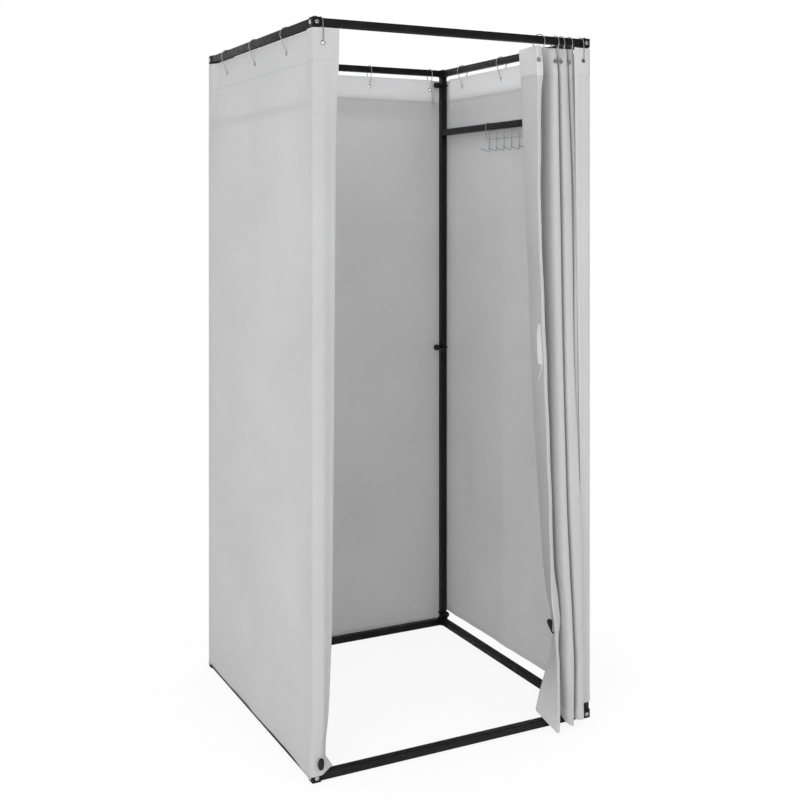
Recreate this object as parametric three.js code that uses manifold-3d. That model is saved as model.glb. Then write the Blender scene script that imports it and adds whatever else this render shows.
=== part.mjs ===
// A portable fitting room: a knock-down frame of square steel tube with bolted
// corner blocks, four fabric curtains hung on pear-shaped wire rings, ball ties
// that hold the curtains to the posts, and a wire hook rack over a crossbar.
// Millimetres, +Z up, floor at zero. The doorway faces -Y.
import * as THREE from "three";
import { mergeVertices } from "three/addons/utils/BufferGeometryUtils.js";
import Module from "manifold-3d";

const wasm = await Module();
wasm.setup();

// Frame
const HEIGHT = 2000; // floor to the top of the corner blocks
const WIDTH = 880; // over the outer faces of the posts, along X
const DEPTH = 880; // over the outer faces of the posts, along Y
const TUBE = 22; // side of the square tube
const TUBE_WALL = 1;
const TUBE_RADIUS = 3; // outer corner radius of the tube
const BLOCK = 26; // side of a corner block
const BLOCK_CHAMFER = 2; // bevel on the block's edges
const FIT_GAP = 0.3; // clearance between pieces that touch or slide
const CUT_OVERRUN = 5; // how far a cutting body runs past what it cuts

// Joints and fixings of the frame
const SPIGOT_LENGTH = 32; // how far a block's spigot reaches into its tube
const SPIGOT_BEVEL = 1.2; // lead-in at a spigot's end
const POST_JOINT_SHARE = 0.49; // of the height, up to the joint of a post's halves
const SLEEVE_LENGTH = 120; // coupling sleeve inside a post
const SLEEVE_WALL = 1.5;
const CROSSBAR_DROP = 225; // centre of the crossbars below the top
const BOLT_HEAD = 12; // diameter of a bolt's head
const BOLT_HEAD_HEIGHT = 3;
const BOLT_SOCKET = 6; // hex socket in the head, over its corners
const BOLT_SOCKET_DEPTH = 2;
const FOOT_RECESS = 15; // recess that sinks a bolt's head under a foot
const SCREW_SHANK = 6; // screw that holds a crossbar to its post
const SCREW_HOLE = 6.8;
const SCREW_HEAD = 11;
const SCREW_HEAD_HEIGHT = 1.6;
const SCREW_PLUG = 24; // plug in the crossbar's end

// Curtain rings
const RING_RADIUS = 20; // centre line of the wide arc over the rail
const RING_TIP_RADIUS = 4; // centre line of the narrow arc in the eyelet
const RING_WIRE = 2.5;
const RING_DROP = 46.6; // between the centres of the two arcs
const RING_MOUTH = 4; // gap where the wire is sprung apart
const EYELET = 10; // hole for a ring or a tie
const EYELET_PLAY = 0.8; // between the wire and the top of its eyelet

// Curtains
const CLOTH = 1.6; // thickness of the curtain solids
const CLOTH_DROP = 25; // upper edge of the rear and right curtains below their rails' centres
const CLOTH_LIFT = 11; // the left and front curtains reach this much higher
const HEADER_DEPTH = 77; // folded upper band that holds the eyelets
const CLOTH_OUT = 17.5; // from a rail's centre line to a curtain hung outside it
const CLOTH_TURN = 9; // bend of a side curtain round its front post
const CLOTH_PAST_POST = 9; // how far a wall curtain passes its rear post's centre
const SHOULDER_DROP = 150; // height in which a curtain moves out below its rings
const SHOULDER_START = 20; // from a post's centre line to its shoulder beside it
const SHOULDER_LENGTH = 32; // length in which it moves out there
const LEFT_HEM = 22; // heights of the lower edges
const REAR_HEM = 22;
const RIGHT_HEM = 50;
const FRONT_HEM = 32;
const LEFT_WRAP = 66; // how far the side curtains reach across the front
const RIGHT_WRAP = 36;
const WRAP_TURN_HIGH = 20; // degrees that the left wrap turns in past its post, below its header
const WRAP_TURN_LOW = 48; // and above its corner
const WRAP_CORNER = 44; // height of the corner that lies flat across the front
const WRAP_CORNER_END = 110; // where the turn is whole again
const WALL_RINGS = 3; // rings of a side curtain on its own rail
const WALL_RING_REAR = 142; // from the rearmost one to the rear post
const WALL_RING_FRONT = 202; // from the foremost one to the front post
const REAR_RINGS = 4;
const REAR_RING_LEFT = 84; // from the outer ones to their posts
const REAR_RING_RIGHT = 54;
const WRAP_RING_GAP = 1.5; // from a wrap's ring to its corner block
const WRAP_RING_TILT = 22; // degrees that the ring leans out over the post

// Front curtain, gathered to the right
const LEAD_INSET = 159; // from its rings to the right post, leading ring first
const SECOND_INSET = 102;
const THIRD_INSET = 82;
const LAST_INSET = 54;
const LEAD_TURN = 30; // degrees that the leading ring is turned
const HEADER_STRIP = 26; // leading hem that faces front, at its ring
const HEM_STRIP = 12; // and below
const FOLD_DEPTH = 78; // depth of the folds behind the rings
const FOLD_GAP = 6; // between two neighbouring folds
const FOLD_SPREAD = 50; // how far the folds swell out in front at the floor
const CREST = 14; // flat front of a fold where its ring passes through
const LAST_RETURN = 52; // last stretch, turned in beside the post
const FOLD_BEND = 12; // rounding of the folds' corners
const FOLD_BEND_SHARE = 0.45; // most of a short stretch that a rounding takes
const PANEL_DEPTH = 88; // how far the leading panel turns into the room below its ring

// Hook rack
const RACK_WIRE = 3;
const RACK_PLACE = -30; // its middle along Y
const RACK_HOOKS = 6;
const RACK_PITCH = 46;
const RACK_OVERHANG = 22; // from the outer hooks to the hangers
const RACK_OUTER_LEG = 8; // end of a hanger below the crossbar's centre
const RACK_UPPER_WIRE = 17; // wires below the crossbar's centre
const RACK_LOWER_WIRE = 44;
const HOOK_DROP = 84; // lowest line of the hooks below the crossbar's centre
const HOOK_BEND = 5;
const HOOK_REACH = 28; // straight stretch of a hook into the room
const HOOK_RISE = 18; // degrees that it rises

// Ball ties
const BALL = 22;
const ELASTIC = 4;
const TIE_NECK = 6; // gathered cord where it enters the ball
const TIE_MEET = 14.4; // where its strands meet, from the post's centre
const TIE_TOP_DROP = 17; // top tie of the rear right post below the cloth's edge
const TIE_MIDDLE_RISE = 21; // middle tie above the post's joint
const TIE_BOTTOM_RISE = 43; // bottom tie above the floor
const TIE_FRONT_RISE = 50; // tie of the front left post
const TIE_LEAD_RISE = 265; // eyelet of the leading hem's tie
const TIE_LEAD_BEND = 18;
const TIE_LEAD_CORD = 6; // straight cord below its ball
const TIE_KNOT = 11; // bead that stops the lead tie behind its eyelet
const TIE_LEAD_SHARE = 0.44; // place of that eyelet between the panel's two edges

// Facets
const CORNER_FACETS = 2; // in a quarter turn of a tube's corner
const ROUND_SIDES = 10;
const WIRE_SIDES = 6;
const EYELET_SIDES = 10;
const WALL_STEPS = 4; // along a wall curtain between its shoulders
const SHOULDER_STEPS = 4;
const WALL_ROWS = 4; // up a wall curtain, below its shoulder
const TURN_STEPS = 3; // of a side curtain round its front post
const WRAP_STEPS = 3; // across a side curtain's wrap
const FOLD_STEPS = 2; // round a corner of a fold

// Finishes
const blackMetal = { color: 0x17181a, roughness: 0.55, metalness: 0.4 };
const wireSteel = { color: 0xc9ccd0, roughness: 0.25, metalness: 0.95 };
const greyCloth = { color: 0xc2c2c4, roughness: 0.95, metalness: 0 };
const blackElastic = { color: 0x121214, roughness: 0.6, metalness: 0 };

// Worked out from the values above
const HALF_TUBE = TUBE / 2;
const HALF_BLOCK = BLOCK / 2;
const POST_X = WIDTH / 2 - HALF_TUBE; // centre lines of the posts and rails
const POST_Y = DEPTH / 2 - HALF_TUBE;
const RAIL_TOP = HEIGHT - HALF_BLOCK;
const RAIL_LOW = HALF_BLOCK;
const POST_JOINT = HEIGHT * POST_JOINT_SHARE;
const CROSSBAR_HEIGHT = HEIGHT - CROSSBAR_DROP;
const CLOTH_TOP = RAIL_TOP - CLOTH_DROP;
const SPIGOT = TUBE - 2 * TUBE_WALL - 2 * FIT_GAP;
const SPIGOT_RADIUS = TUBE_RADIUS - TUBE_WALL - FIT_GAP / 2;
const SEAM = CLOTH_TOP - HEADER_DEPTH;
const FRONT_RINGS = [LEAD_INSET, SECOND_INSET, THIRD_INSET, LAST_INSET].map((inset) => POST_X - inset);
const QUARTER = Math.PI / 2;
const DEGREE = Math.PI / 180;
const SIDES = [["left", -1], ["right", 1]];
const ENDS = [["front", -1], ["rear", 1]];

// Solids and meshes

function solid(geometry) {
  const bare = geometry.index ? geometry.toNonIndexed() : geometry.clone();
  bare.deleteAttribute("normal");
  bare.deleteAttribute("uv");
  const merged = mergeVertices(bare);
  const vertProperties = merged.attributes.position.array;
  const triVerts = new Uint32Array(merged.index.array);
  return new wasm.Manifold(new wasm.Mesh({ numProp: 3, vertProperties, triVerts }));
}

function geometryOf(body) {
  const { vertProperties, numProp, triVerts } = body.getMesh();
  const geometry = new THREE.BufferGeometry();
  geometry.setAttribute("position", new THREE.BufferAttribute(vertProperties, numProp));
  geometry.setIndex(new THREE.BufferAttribute(triVerts, 1));
  geometry.computeVertexNormals();
  return geometry;
}

function joined(geometries) {
  return geometries.map(solid).reduce((all, body) => all.add(body));
}

function part(name, geometry, finish) {
  const mesh = new THREE.Mesh(geometry, new THREE.MeshStandardMaterial(finish));
  mesh.name = name;
  return mesh;
}

function at(object, x, y, z) {
  object.position.set(x, y, z);
  return object;
}

// Profiles and prisms

function roundedSquare(side, radius) {
  const far = side / 2 - radius;
  const shape = new THREE.Shape();
  shape.absarc(far, -far, radius, -QUARTER, 0);
  shape.absarc(far, far, radius, 0, QUARTER);
  shape.absarc(-far, far, radius, QUARTER, 2 * QUARTER);
  shape.absarc(-far, -far, radius, 2 * QUARTER, 3 * QUARTER);
  return shape;
}

function chamferedSquare(side, bevel) {
  const half = side / 2;
  const near = half - bevel;
  const quarter = [[half, -near], [half, near]];
  const centre = new THREE.Vector2();
  const points = [0, QUARTER, 2 * QUARTER, 3 * QUARTER].flatMap((turn) =>
    quarter.map(([x, y]) => new THREE.Vector2(x, y).rotateAround(centre, turn)));
  return new THREE.Shape(points);
}

function polygon(diameter, sides) {
  const points = Array.from({ length: sides }, (_, i) => {
    const angle = ((i + 0.5) / sides) * 4 * QUARTER;
    return new THREE.Vector2(Math.cos(angle), Math.sin(angle)).multiplyScalar(diameter / 2);
  });
  return new THREE.Shape(points);
}

// Prism of a profile along +Z, centred on the origin.
function prism(shape, length) {
  const options = { depth: length, bevelEnabled: false, curveSegments: CORNER_FACETS };
  return new THREE.ExtrudeGeometry(shape, options).translate(0, 0, -length / 2);
}

// Square tube along +Z, centred on the origin and open at both ends.
function squareTube(length, side = TUBE, wall = TUBE_WALL, radius = TUBE_RADIUS) {
  const shape = roundedSquare(side, radius);
  shape.holes.push(roundedSquare(side - 2 * wall, radius - wall));
  return prism(shape, length);
}

function alongX(geometry) {
  return geometry.clone().rotateY(QUARTER);
}

function alongY(geometry) {
  return geometry.clone().rotateX(-QUARTER);
}

// Wires

// A route of straight and bent stretches, each with its own number of steps, so
// that the bends get more of them.
class Route extends THREE.Curve {
  constructor(stretches) {
    super();
    this.stretches = stretches;
    this.steps = stretches.reduce((sum, stretch) => sum + stretch.steps, 0);
  }

  getPoint(t, target = new THREE.Vector3()) {
    let step = t * this.steps;
    let stretch = this.stretches[0];
    for (stretch of this.stretches) {
      if (step <= stretch.steps) break;
      step -= stretch.steps;
    }
    return target.copy(stretch.point(Math.min(step / stretch.steps, 1)));
  }

  getUtoTmapping(u) {
    return u;
  }
}

// Both lie in the YZ plane: places are [y, z], and angles run from +Y to +Z.
function line(from, to, steps = 1) {
  const a = new THREE.Vector3(0, ...from);
  const b = new THREE.Vector3(0, ...to);
  return { steps, point: (share) => a.clone().lerp(b, share) };
}

function arc(centre, radius, from, to, steps) {
  const point = (share) => {
    const angle = from + (to - from) * share;
    return new THREE.Vector3(0, centre[0] + radius * Math.cos(angle), centre[1] + radius * Math.sin(angle));
  };
  return { steps, point };
}

function wire(route, thickness) {
  const options = { steps: route.steps, bevelEnabled: false, extrudePath: route };
  return new THREE.ExtrudeGeometry(polygon(thickness, WIRE_SIDES), options);
}

// Frame

// Block with a bevelled spigot for each of its three tubes and the heads of the
// bolts that clamp them. inX, inY and inZ point along the tubes.
function cornerBlock(inX, inY, inZ) {
  const square = prism(chamferedSquare(BLOCK, BLOCK_CHAMFER), BLOCK);
  const cube = solid(square).intersect(solid(alongX(square))).intersect(solid(alongY(square)));
  const face = HALF_BLOCK + BOLT_HEAD_HEIGHT / 2;
  const arms = [
    spigot().rotateY(inX * QUARTER),
    spigot().rotateX(-inY * QUARTER),
    inZ > 0 ? spigot() : spigot().rotateX(2 * QUARTER),
  ];
  const heads = [
    boltHead().rotateY(-inX * QUARTER).translate(-inX * face, 0, 0),
    boltHead().rotateX(inY * QUARTER).translate(0, -inY * face, 0),
  ];
  if (inZ < 0) heads.push(boltHead().translate(0, 0, face));
  const block = cube.add(joined([...arms, ...heads]));
  return geometryOf(inZ < 0 ? block : block.subtract(footRecess()));
}

function spigot() {
  const length = HALF_BLOCK + SPIGOT_LENGTH - 2 * SPIGOT_BEVEL;
  const options = {
    depth: length,
    bevelThickness: SPIGOT_BEVEL,
    bevelSize: SPIGOT_BEVEL,
    bevelOffset: -SPIGOT_BEVEL,
    bevelSegments: 1,
  };
  return new THREE.ExtrudeGeometry(chamferedSquare(SPIGOT, SPIGOT_BEVEL), options)
    .translate(0, 0, SPIGOT_BEVEL);
}

function boltHead() {
  const cap = prism(polygon(BOLT_HEAD, ROUND_SIDES), BOLT_HEAD_HEIGHT);
  const socket = prism(polygon(BOLT_SOCKET, 6), 2 * BOLT_SOCKET_DEPTH);
  return geometryOf(solid(cap).subtract(solid(socket.translate(0, 0, BOLT_HEAD_HEIGHT / 2))));
}

// Ring-shaped recess under a foot, round the sunk head of its bolt.
function footRecess() {
  const ring = polygon(FOOT_RECESS, ROUND_SIDES);
  ring.holes.push(polygon(BOLT_HEAD, ROUND_SIDES));
  const groove = prism(ring, 2 * BOLT_HEAD_HEIGHT).translate(0, 0, -HALF_BLOCK);
  const face = prism(polygon(FOOT_RECESS, ROUND_SIDES), 2 * FIT_GAP).translate(0, 0, -HALF_BLOCK);
  return joined([groove, face]);
}

function cornerBlocks() {
  const levels = [["top", RAIL_TOP, -1], ["bottom", RAIL_LOW, 1]];
  return levels.flatMap(([level, height, up]) => ENDS.flatMap(([end, endY]) =>
    SIDES.map(([side, sideX]) => {
      const mesh = part(`corner_${level}_${end}_${side}`, cornerBlock(-sideX, -endY, up), blackMetal);
      return at(mesh, sideX * POST_X, endY * POST_Y, height);
    })));
}

// Each post is two tubes, coupled by a sleeve inside.
function post(end, endY, side, sideX) {
  const foot = BLOCK;
  const head = HEIGHT - BLOCK;
  const sleeve = squareTube(SLEEVE_LENGTH, SPIGOT, SLEEVE_WALL, SPIGOT_RADIUS);
  const pieces = [
    [`post_lower_${end}_${side}`, squareTube(POST_JOINT - foot), (POST_JOINT + foot) / 2],
    [`post_upper_${end}_${side}`, drilledPost(POST_JOINT, head), (POST_JOINT + head) / 2],
    [`post_sleeve_${end}_${side}`, sleeve, POST_JOINT],
  ];
  return pieces.map(([name, geometry, height]) =>
    at(part(name, geometry, blackMetal), sideX * POST_X, endY * POST_Y, height));
}

// Upper half of a post, with the cross hole for its crossbar's screw.
function drilledPost(low, high) {
  const drill = alongY(prism(polygon(SCREW_HOLE, ROUND_SIDES), TUBE + 2 * CUT_OVERRUN));
  drill.translate(0, 0, CROSSBAR_HEIGHT - (low + high) / 2);
  return geometryOf(solid(squareTube(high - low)).subtract(solid(drill)));
}

function posts() {
  return ENDS.flatMap(([end, endY]) => SIDES.flatMap(([side, sideX]) => post(end, endY, side, sideX)));
}

function rails() {
  const acrossX = alongX(squareTube(2 * POST_X - BLOCK));
  const acrossY = alongY(squareTube(2 * POST_Y - BLOCK));
  return [["top", RAIL_TOP], ["bottom", RAIL_LOW]].flatMap(([level, height]) => [
    ...ENDS.map(([end, endY]) =>
      at(part(`rail_${level}_${end}`, acrossX.clone(), blackMetal), 0, endY * POST_Y, height)),
    ...SIDES.map(([side, sideX]) =>
      at(part(`rail_${level}_${side}`, acrossY.clone(), blackMetal), sideX * POST_X, 0, height)),
  ]);
}

// Crossbar between two side posts, with a plug and a screw at either end.
function crossbars() {
  return SIDES.flatMap(([side, sideX]) => {
    const bar = part(`crossbar_${side}`, alongY(squareTube(2 * POST_Y - TUBE)), blackMetal);
    const fixings = ENDS.map(([end, endY]) => {
      const fixing = part(`crossbar_fixing_${side}_${end}`, crossbarFixing(endY), wireSteel);
      return at(fixing, sideX * POST_X, endY * POST_Y, CROSSBAR_HEIGHT);
    });
    return [at(bar, sideX * POST_X, 0, CROSSBAR_HEIGHT), ...fixings];
  });
}

// Plug inside the bar, shank through the post and a low head on its outer face.
function crossbarFixing(outward) {
  const seat = HALF_TUBE + FIT_GAP;
  const shank = seat + SCREW_HEAD_HEIGHT / 2;
  const pieces = [
    prism(roundedSquare(SPIGOT, SPIGOT_RADIUS), SCREW_PLUG).translate(0, 0, -seat - SCREW_PLUG / 2),
    prism(polygon(SCREW_SHANK, ROUND_SIDES), 2 * shank),
    prism(polygon(SCREW_HEAD, ROUND_SIDES), SCREW_HEAD_HEIGHT).translate(0, 0, shank),
  ];
  return geometryOf(joined(pieces)).rotateX(-outward * QUARTER);
}

// Curtain rings

// A pear-shaped ring in the YZ plane round the centre of its wide arc: open wire
// that starts above the narrow arc on the +Y side, where it is sprung apart.
function ringRoute() {
  const lean = Math.asin((RING_RADIUS - RING_TIP_RADIUS) / RING_DROP);
  const tip = [0, -RING_DROP];
  const onWide = (side) => [side * RING_RADIUS * Math.cos(lean), -RING_RADIUS * Math.sin(lean)];
  const onTip = (side) =>
    [side * RING_TIP_RADIUS * Math.cos(lean), -RING_DROP - RING_TIP_RADIUS * Math.sin(lean)];
  const mouth = [
    onTip(1)[0] + RING_MOUTH * Math.sin(lean),
    onTip(1)[1] + RING_MOUTH * Math.cos(lean),
  ];
  return new Route([
    line(mouth, onWide(1)),
    arc([0, 0], RING_RADIUS, -lean, 2 * QUARTER + lean, 10),
    line(onWide(-1), onTip(-1)),
    arc(tip, RING_TIP_RADIUS, 2 * QUARTER + lean, 4 * QUARTER - lean, 5),
  ]);
}

// Height of the wide arc's centre over the rail's, where the wire rests on the
// rail's upper corners. A turned ring meets a wider section of the rail.
function ringSeat(turn) {
  const stretch = 1 / Math.cos(turn * DEGREE);
  const corner = (HALF_TUBE - TUBE_RADIUS) * stretch;
  const reach = RING_RADIUS - RING_WIRE / 2 - FIT_GAP - TUBE_RADIUS * stretch;
  return HALF_TUBE - TUBE_RADIUS - Math.sqrt(reach * reach - corner * corner);
}

// Even places from one to another.
function spread(from, to, count) {
  return Array.from({ length: count }, (_, i) => mix(from, to, i / (count - 1)));
}

// Each ring's place on its rail, the heading of its room side, and its lean.
function ringPlaces() {
  const wall = spread(POST_Y - WALL_RING_REAR, WALL_RING_FRONT - POST_Y, WALL_RINGS);
  const side = SIDES.flatMap(([name, sideX]) => {
    const own = wall.map((y) => ({
      curtain: name, x: sideX * POST_X, y,
      heading: sideX * 90, turn: 0, tilt: 0,
    }));
    const x = sideX * (POST_X - HALF_BLOCK - WRAP_RING_GAP);
    return [...own, { curtain: name, x, y: -POST_Y, heading: 0, turn: 0, tilt: WRAP_RING_TILT }];
  });
  const rear = spread(REAR_RING_LEFT - POST_X, POST_X - REAR_RING_RIGHT, REAR_RINGS).map((x) => ({
    curtain: "rear", x, y: POST_Y, heading: 180, turn: 0, tilt: 0,
  }));
  const front = FRONT_RINGS.map((x, i) => ({
    curtain: "front", x, y: -POST_Y, heading: 0, turn: i ? 0 : LEAD_TURN, tilt: 0,
  }));
  return [...side, ...rear, ...front];
}

function rings() {
  const count = {};
  const shape = wire(ringRoute(), RING_WIRE);
  return ringPlaces().map(({ curtain, x, y, heading, turn, tilt }) => {
    count[curtain] = (count[curtain] || 0) + 1;
    const mesh = part(`ring_${curtain}_${count[curtain]}`, shape.clone(), wireSteel);
    mesh.rotation.x = -tilt * DEGREE;
    const hang = new THREE.Group();
    hang.rotation.z = (heading + turn) * DEGREE;
    hang.add(mesh);
    return at(hang, x, y, RAIL_TOP + ringSeat(turn));
  });
}

// Drill for the eyelet that a ring passes through.
function eyeletDrill({ x, y, heading, turn, tilt }) {
  const tipCentre = ringSeat(turn) - RING_DROP * Math.cos(tilt * DEGREE);
  const wireTop = tipCentre - RING_TIP_RADIUS + RING_WIRE / 2;
  const drill = alongY(prism(polygon(EYELET / Math.cos((2 * QUARTER) / EYELET_SIDES), EYELET_SIDES), TUBE));
  drill.translate(0, -RING_DROP * Math.sin(tilt * DEGREE), wireTop + EYELET_PLAY - EYELET / 2);
  return solid(drill.rotateZ((heading + turn) * DEGREE).translate(x, y, RAIL_TOP));
}

// Curtains

function smooth(share) {
  const held = Math.min(Math.max(share, 0), 1);
  return held * held * (3 - 2 * held);
}

function mix(a, b, share) {
  return a + (b - a) * share;
}

// Closed sheet of cloth. section(height) gives the places [x, y] of its middle
// surface; its outline runs along one face and back along the other.
function clothSheet(section, heights) {
  const rows = heights.map((height) => {
    const points = section(height);
    const half = CLOTH / 2;
    const face = (shift) => points.map(([x, y], i) => {
      const [x0, y0] = points[Math.max(i - 1, 0)];
      const [x1, y1] = points[Math.min(i + 1, points.length - 1)];
      const length = Math.hypot(x1 - x0, y1 - y0);
      return [x + (shift * (y1 - y0)) / length, y - (shift * (x1 - x0)) / length, height];
    });
    return [...face(half), ...face(-half).reverse()];
  });
  const around = rows[0].length;
  const quads = [];
  for (let row = 0; row + 1 < rows.length; row++) {
    for (let i = 0; i < around; i++) {
      const next = (i + 1) % around;
      const [low, high] = [row * around, (row + 1) * around];
      const quad = [low + i, low + next, high + next, high + i];
      // Both faces are split along the same diagonals, so that a twisted sheet keeps its thickness.
      quads.push(i < around / 2 ? quad : [...quad.slice(1), quad[0]]);
    }
  }
  const last = (rows.length - 1) * around;
  for (let i = 0; i + 1 < around / 2; i++) {
    const back = around - 1 - i;
    quads.push([i, back, back - 1, i + 1]);
    quads.push([last + i, last + i + 1, last + back - 1, last + back]);
  }
  const geometry = new THREE.BufferGeometry();
  geometry.setAttribute("position", new THREE.Float32BufferAttribute(rows.flat(2), 3));
  geometry.setIndex(quads.flatMap(([a, b, c, d]) => [a, b, c, a, c, d]));
  return geometry;
}

// Heights of a wall curtain's rows: even below its shoulder, close within it.
function wallHeights(lowest, highest) {
  const shoulder = CLOTH_TOP - SHOULDER_DROP;
  return [...spread(lowest, shoulder, WALL_ROWS), (shoulder + SEAM) / 2, SEAM, highest];
}

// Curtain as a node, with an eyelet for each of its rings.
function curtain(name, sheet, drills = []) {
  const mine = ringPlaces().filter((ring) => ring.curtain === name).map(eyeletDrill);
  const pierced = [...mine, ...drills].reduce((cloth, drill) => cloth.subtract(drill), solid(sheet));
  return part(`curtain_${name}`, geometryOf(pierced), greyCloth);
}

// How far a wall curtain lies outside its rail's centre line: none at its rings,
// and clear of crossbar, bottom rail and posts elsewhere.
function wallOffset(fromPost, height) {
  const lowered = smooth((SEAM + EYELET - height) / (SEAM + EYELET - CLOTH_TOP + SHOULDER_DROP));
  const besidePost = 1 - smooth((fromPost - SHOULDER_START) / SHOULDER_LENGTH);
  return CLOTH_OUT * Math.max(lowered, besidePost);
}

// Places along a wall curtain from one end to the other, with close steps in the
// shoulders beside its two posts, which stand at plus and minus the given place.
function wallStops(from, to, post) {
  const inner = post - SHOULDER_START - SHOULDER_LENGTH;
  const shoulder = Array.from({ length: SHOULDER_STEPS + 1 }, (_, i) =>
    post - SHOULDER_START - (i / SHOULDER_STEPS) * SHOULDER_LENGTH);
  const between = Array.from({ length: WALL_STEPS - 1 }, (_, i) =>
    mix(inner, -inner, (i + 1) / WALL_STEPS));
  return [from, ...shoulder, ...between, ...shoulder.map((place) => -place).reverse(), to];
}

// Degrees that the left wrap turns into the room past its post: none at its ring
// and at its lower corner, which the tie holds flat.
function wrapTurn(height) {
  const down = (CLOTH_TOP - height) / (CLOTH_TOP - LEFT_HEM);
  const belowRing = smooth((CLOTH_TOP - height) / SHOULDER_DROP);
  const aboveCorner = smooth((height - WRAP_CORNER) / (WRAP_CORNER_END - WRAP_CORNER));
  return mix(WRAP_TURN_HIGH, WRAP_TURN_LOW, down) * belowRing * aboveCorner;
}

// Side curtain: along its rail, round the front post and a little way across.
function sideCurtain(name, sideX, heights, wrap, turn) {
  const turnX = POST_X + CLOTH_OUT - CLOTH_TURN;
  const turnY = POST_Y + CLOTH_OUT - CLOTH_TURN;
  const stops = wallStops(POST_Y + CLOTH_PAST_POST, -turnY, POST_Y);
  const bends = Array.from({ length: TURN_STEPS }, (_, i) => (QUARTER * (i + 1)) / TURN_STEPS);
  const front = Array.from({ length: WRAP_STEPS }, (_, i) => (wrap * (i + 1)) / WRAP_STEPS);
  const across = (reach, angle) => {
    const past = Math.max(reach - TUBE, 0);
    const x = turnX - Math.min(reach, TUBE) - past * Math.cos(angle);
    return [sideX * x, -turnY - CLOTH_TURN + past * Math.sin(angle)];
  };
  const section = (height) => [
    ...stops.map((y) => [sideX * (POST_X + wallOffset(POST_Y - Math.abs(y), height)), y]),
    ...bends.map((angle) =>
      [sideX * (turnX + CLOTH_TURN * Math.cos(angle)), -turnY - CLOTH_TURN * Math.sin(angle)]),
    ...front.map((reach) => across(reach, turn(height) * DEGREE)),
  ];
  const drills = name === "left" ? [tieDrill()] : [];
  return curtain(name, clothSheet(section, heights), drills);
}

// Eyelet through which the front left tie passes.
function tieDrill() {
  const drill = alongY(prism(polygon(EYELET, EYELET_SIDES), CLOTH + 2 * CUT_OVERRUN));
  return solid(drill.translate(-POST_X, -POST_Y - CLOTH_OUT, TIE_FRONT_RISE));
}

function rearCurtain() {
  const reach = POST_X + CLOTH_PAST_POST;
  const stops = wallStops(reach, -reach, POST_X);
  const section = (height) =>
    stops.map((x) => [x, POST_Y + wallOffset(POST_X - Math.abs(x), height)]);
  return curtain("rear", clothSheet(section, wallHeights(REAR_HEM, CLOTH_TOP)));
}

// Edges of the folds at the floor: their distances to the right post, as shares
// of the leading ring's.
const FLOOR_FOLD_SHARES = [[0.71, 0.43], [0.39, 0.24], [0.21, 0.19]];

// Stations up the leading panel, which the tie draws together above its flare. At
// each height: from its leading edge to the right post, as a share of its ring's
// distance, and out in front of the rails, as a share of the panel's depth; then the
// same of its inner edge, with the second one in behind the rails.
const RING_EDGE_SHARE = 1 + HEADER_STRIP / 2 / LEAD_INSET;
const PANEL_STATION_SHARES = [
  [FRONT_HEM, 0.91, 0.93, 1.12, 0.03],
  [mix(FRONT_HEM, TIE_LEAD_RISE, 0.42), 0.75, 0.58, 0.83, 0.41],
  [TIE_LEAD_RISE, 0.69, 0.24, 0.64, 0.27],
  [mix(TIE_LEAD_RISE, SEAM, 0.07), 0.79, 0.23, 0.59, 0.7],
  [mix(TIE_LEAD_RISE, SEAM, 0.24), 0.84, 0.19, 0.72, 0.78],
  [mix(TIE_LEAD_RISE, SEAM, 0.64), 0.98, 0.07, 0.91, 0.92],
  [SEAM - HEADER_DEPTH / 2, 0.99, 0.01, 1.04, 0.99],
  [SEAM, RING_EDGE_SHARE, 0, 1.06, 1],
  [CLOTH_TOP + CLOTH_LIFT, RING_EDGE_SHARE, 0, 1.08, 1],
];

// Station at a height, worked out between the two next to it.
function panelStation(height) {
  const above = PANEL_STATION_SHARES.findIndex(([level]) => level >= height);
  const [low, high] = [PANEL_STATION_SHARES[Math.max(above - 1, 0)], PANEL_STATION_SHARES[above]];
  const share = low === high ? 0 : (height - low[0]) / (high[0] - low[0]);
  return low.map((value, i) => mix(value, high[i], share));
}

// Corners of the gathered curtain's section: the leading hem faces front, a panel
// turns into the room and comes back to the first of three deep folds.
function gatheredSection(height) {
  const down = (CLOTH_TOP - height) / (CLOTH_TOP - FRONT_HEM);
  const leaned = smooth(down * down);
  const swelled = smooth(down);
  const [, leadShare, beforeShare, innerShare, behindShare] = panelStation(height);
  const lead = POST_X - LEAD_INSET * leadShare;
  const leadY = -POST_Y - PANEL_DEPTH * beforeShare;
  const panelX = POST_X - LEAD_INSET * innerShare;
  const panelY = -POST_Y + PANEL_DEPTH * behindShare;
  const crestY = -POST_Y - FOLD_SPREAD * swelled;
  const innerY = -POST_Y + FOLD_DEPTH;
  const hemEnd = lead + (height < SEAM ? HEM_STRIP : HEADER_STRIP);
  const folds = FRONT_RINGS.slice(1).map((ring, i) => FLOOR_FOLD_SHARES[i].map((share, j) =>
    mix(ring + (j - 0.5) * CREST, POST_X - LEAD_INSET * share, i ? swelled : leaned)));
  const [first, second, third] = folds;
  first[0] = Math.max(first[0], hemEnd + FOLD_GAP);
  const corners = [
    [hemEnd, leadY], [lead, leadY],
    [panelX, panelY], [panelX + FOLD_GAP, panelY],
    [first[0], crestY], [first[1], crestY],
    [first[1], innerY], [second[0], innerY],
    [second[0], crestY], [second[1], crestY],
    [second[1], innerY], [third[0], innerY],
    [third[0], crestY], [third[1], crestY],
    [third[1], crestY + LAST_RETURN],
  ];
  return corners.map(([x, y]) => new THREE.Vector2(x, y));
}

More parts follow.
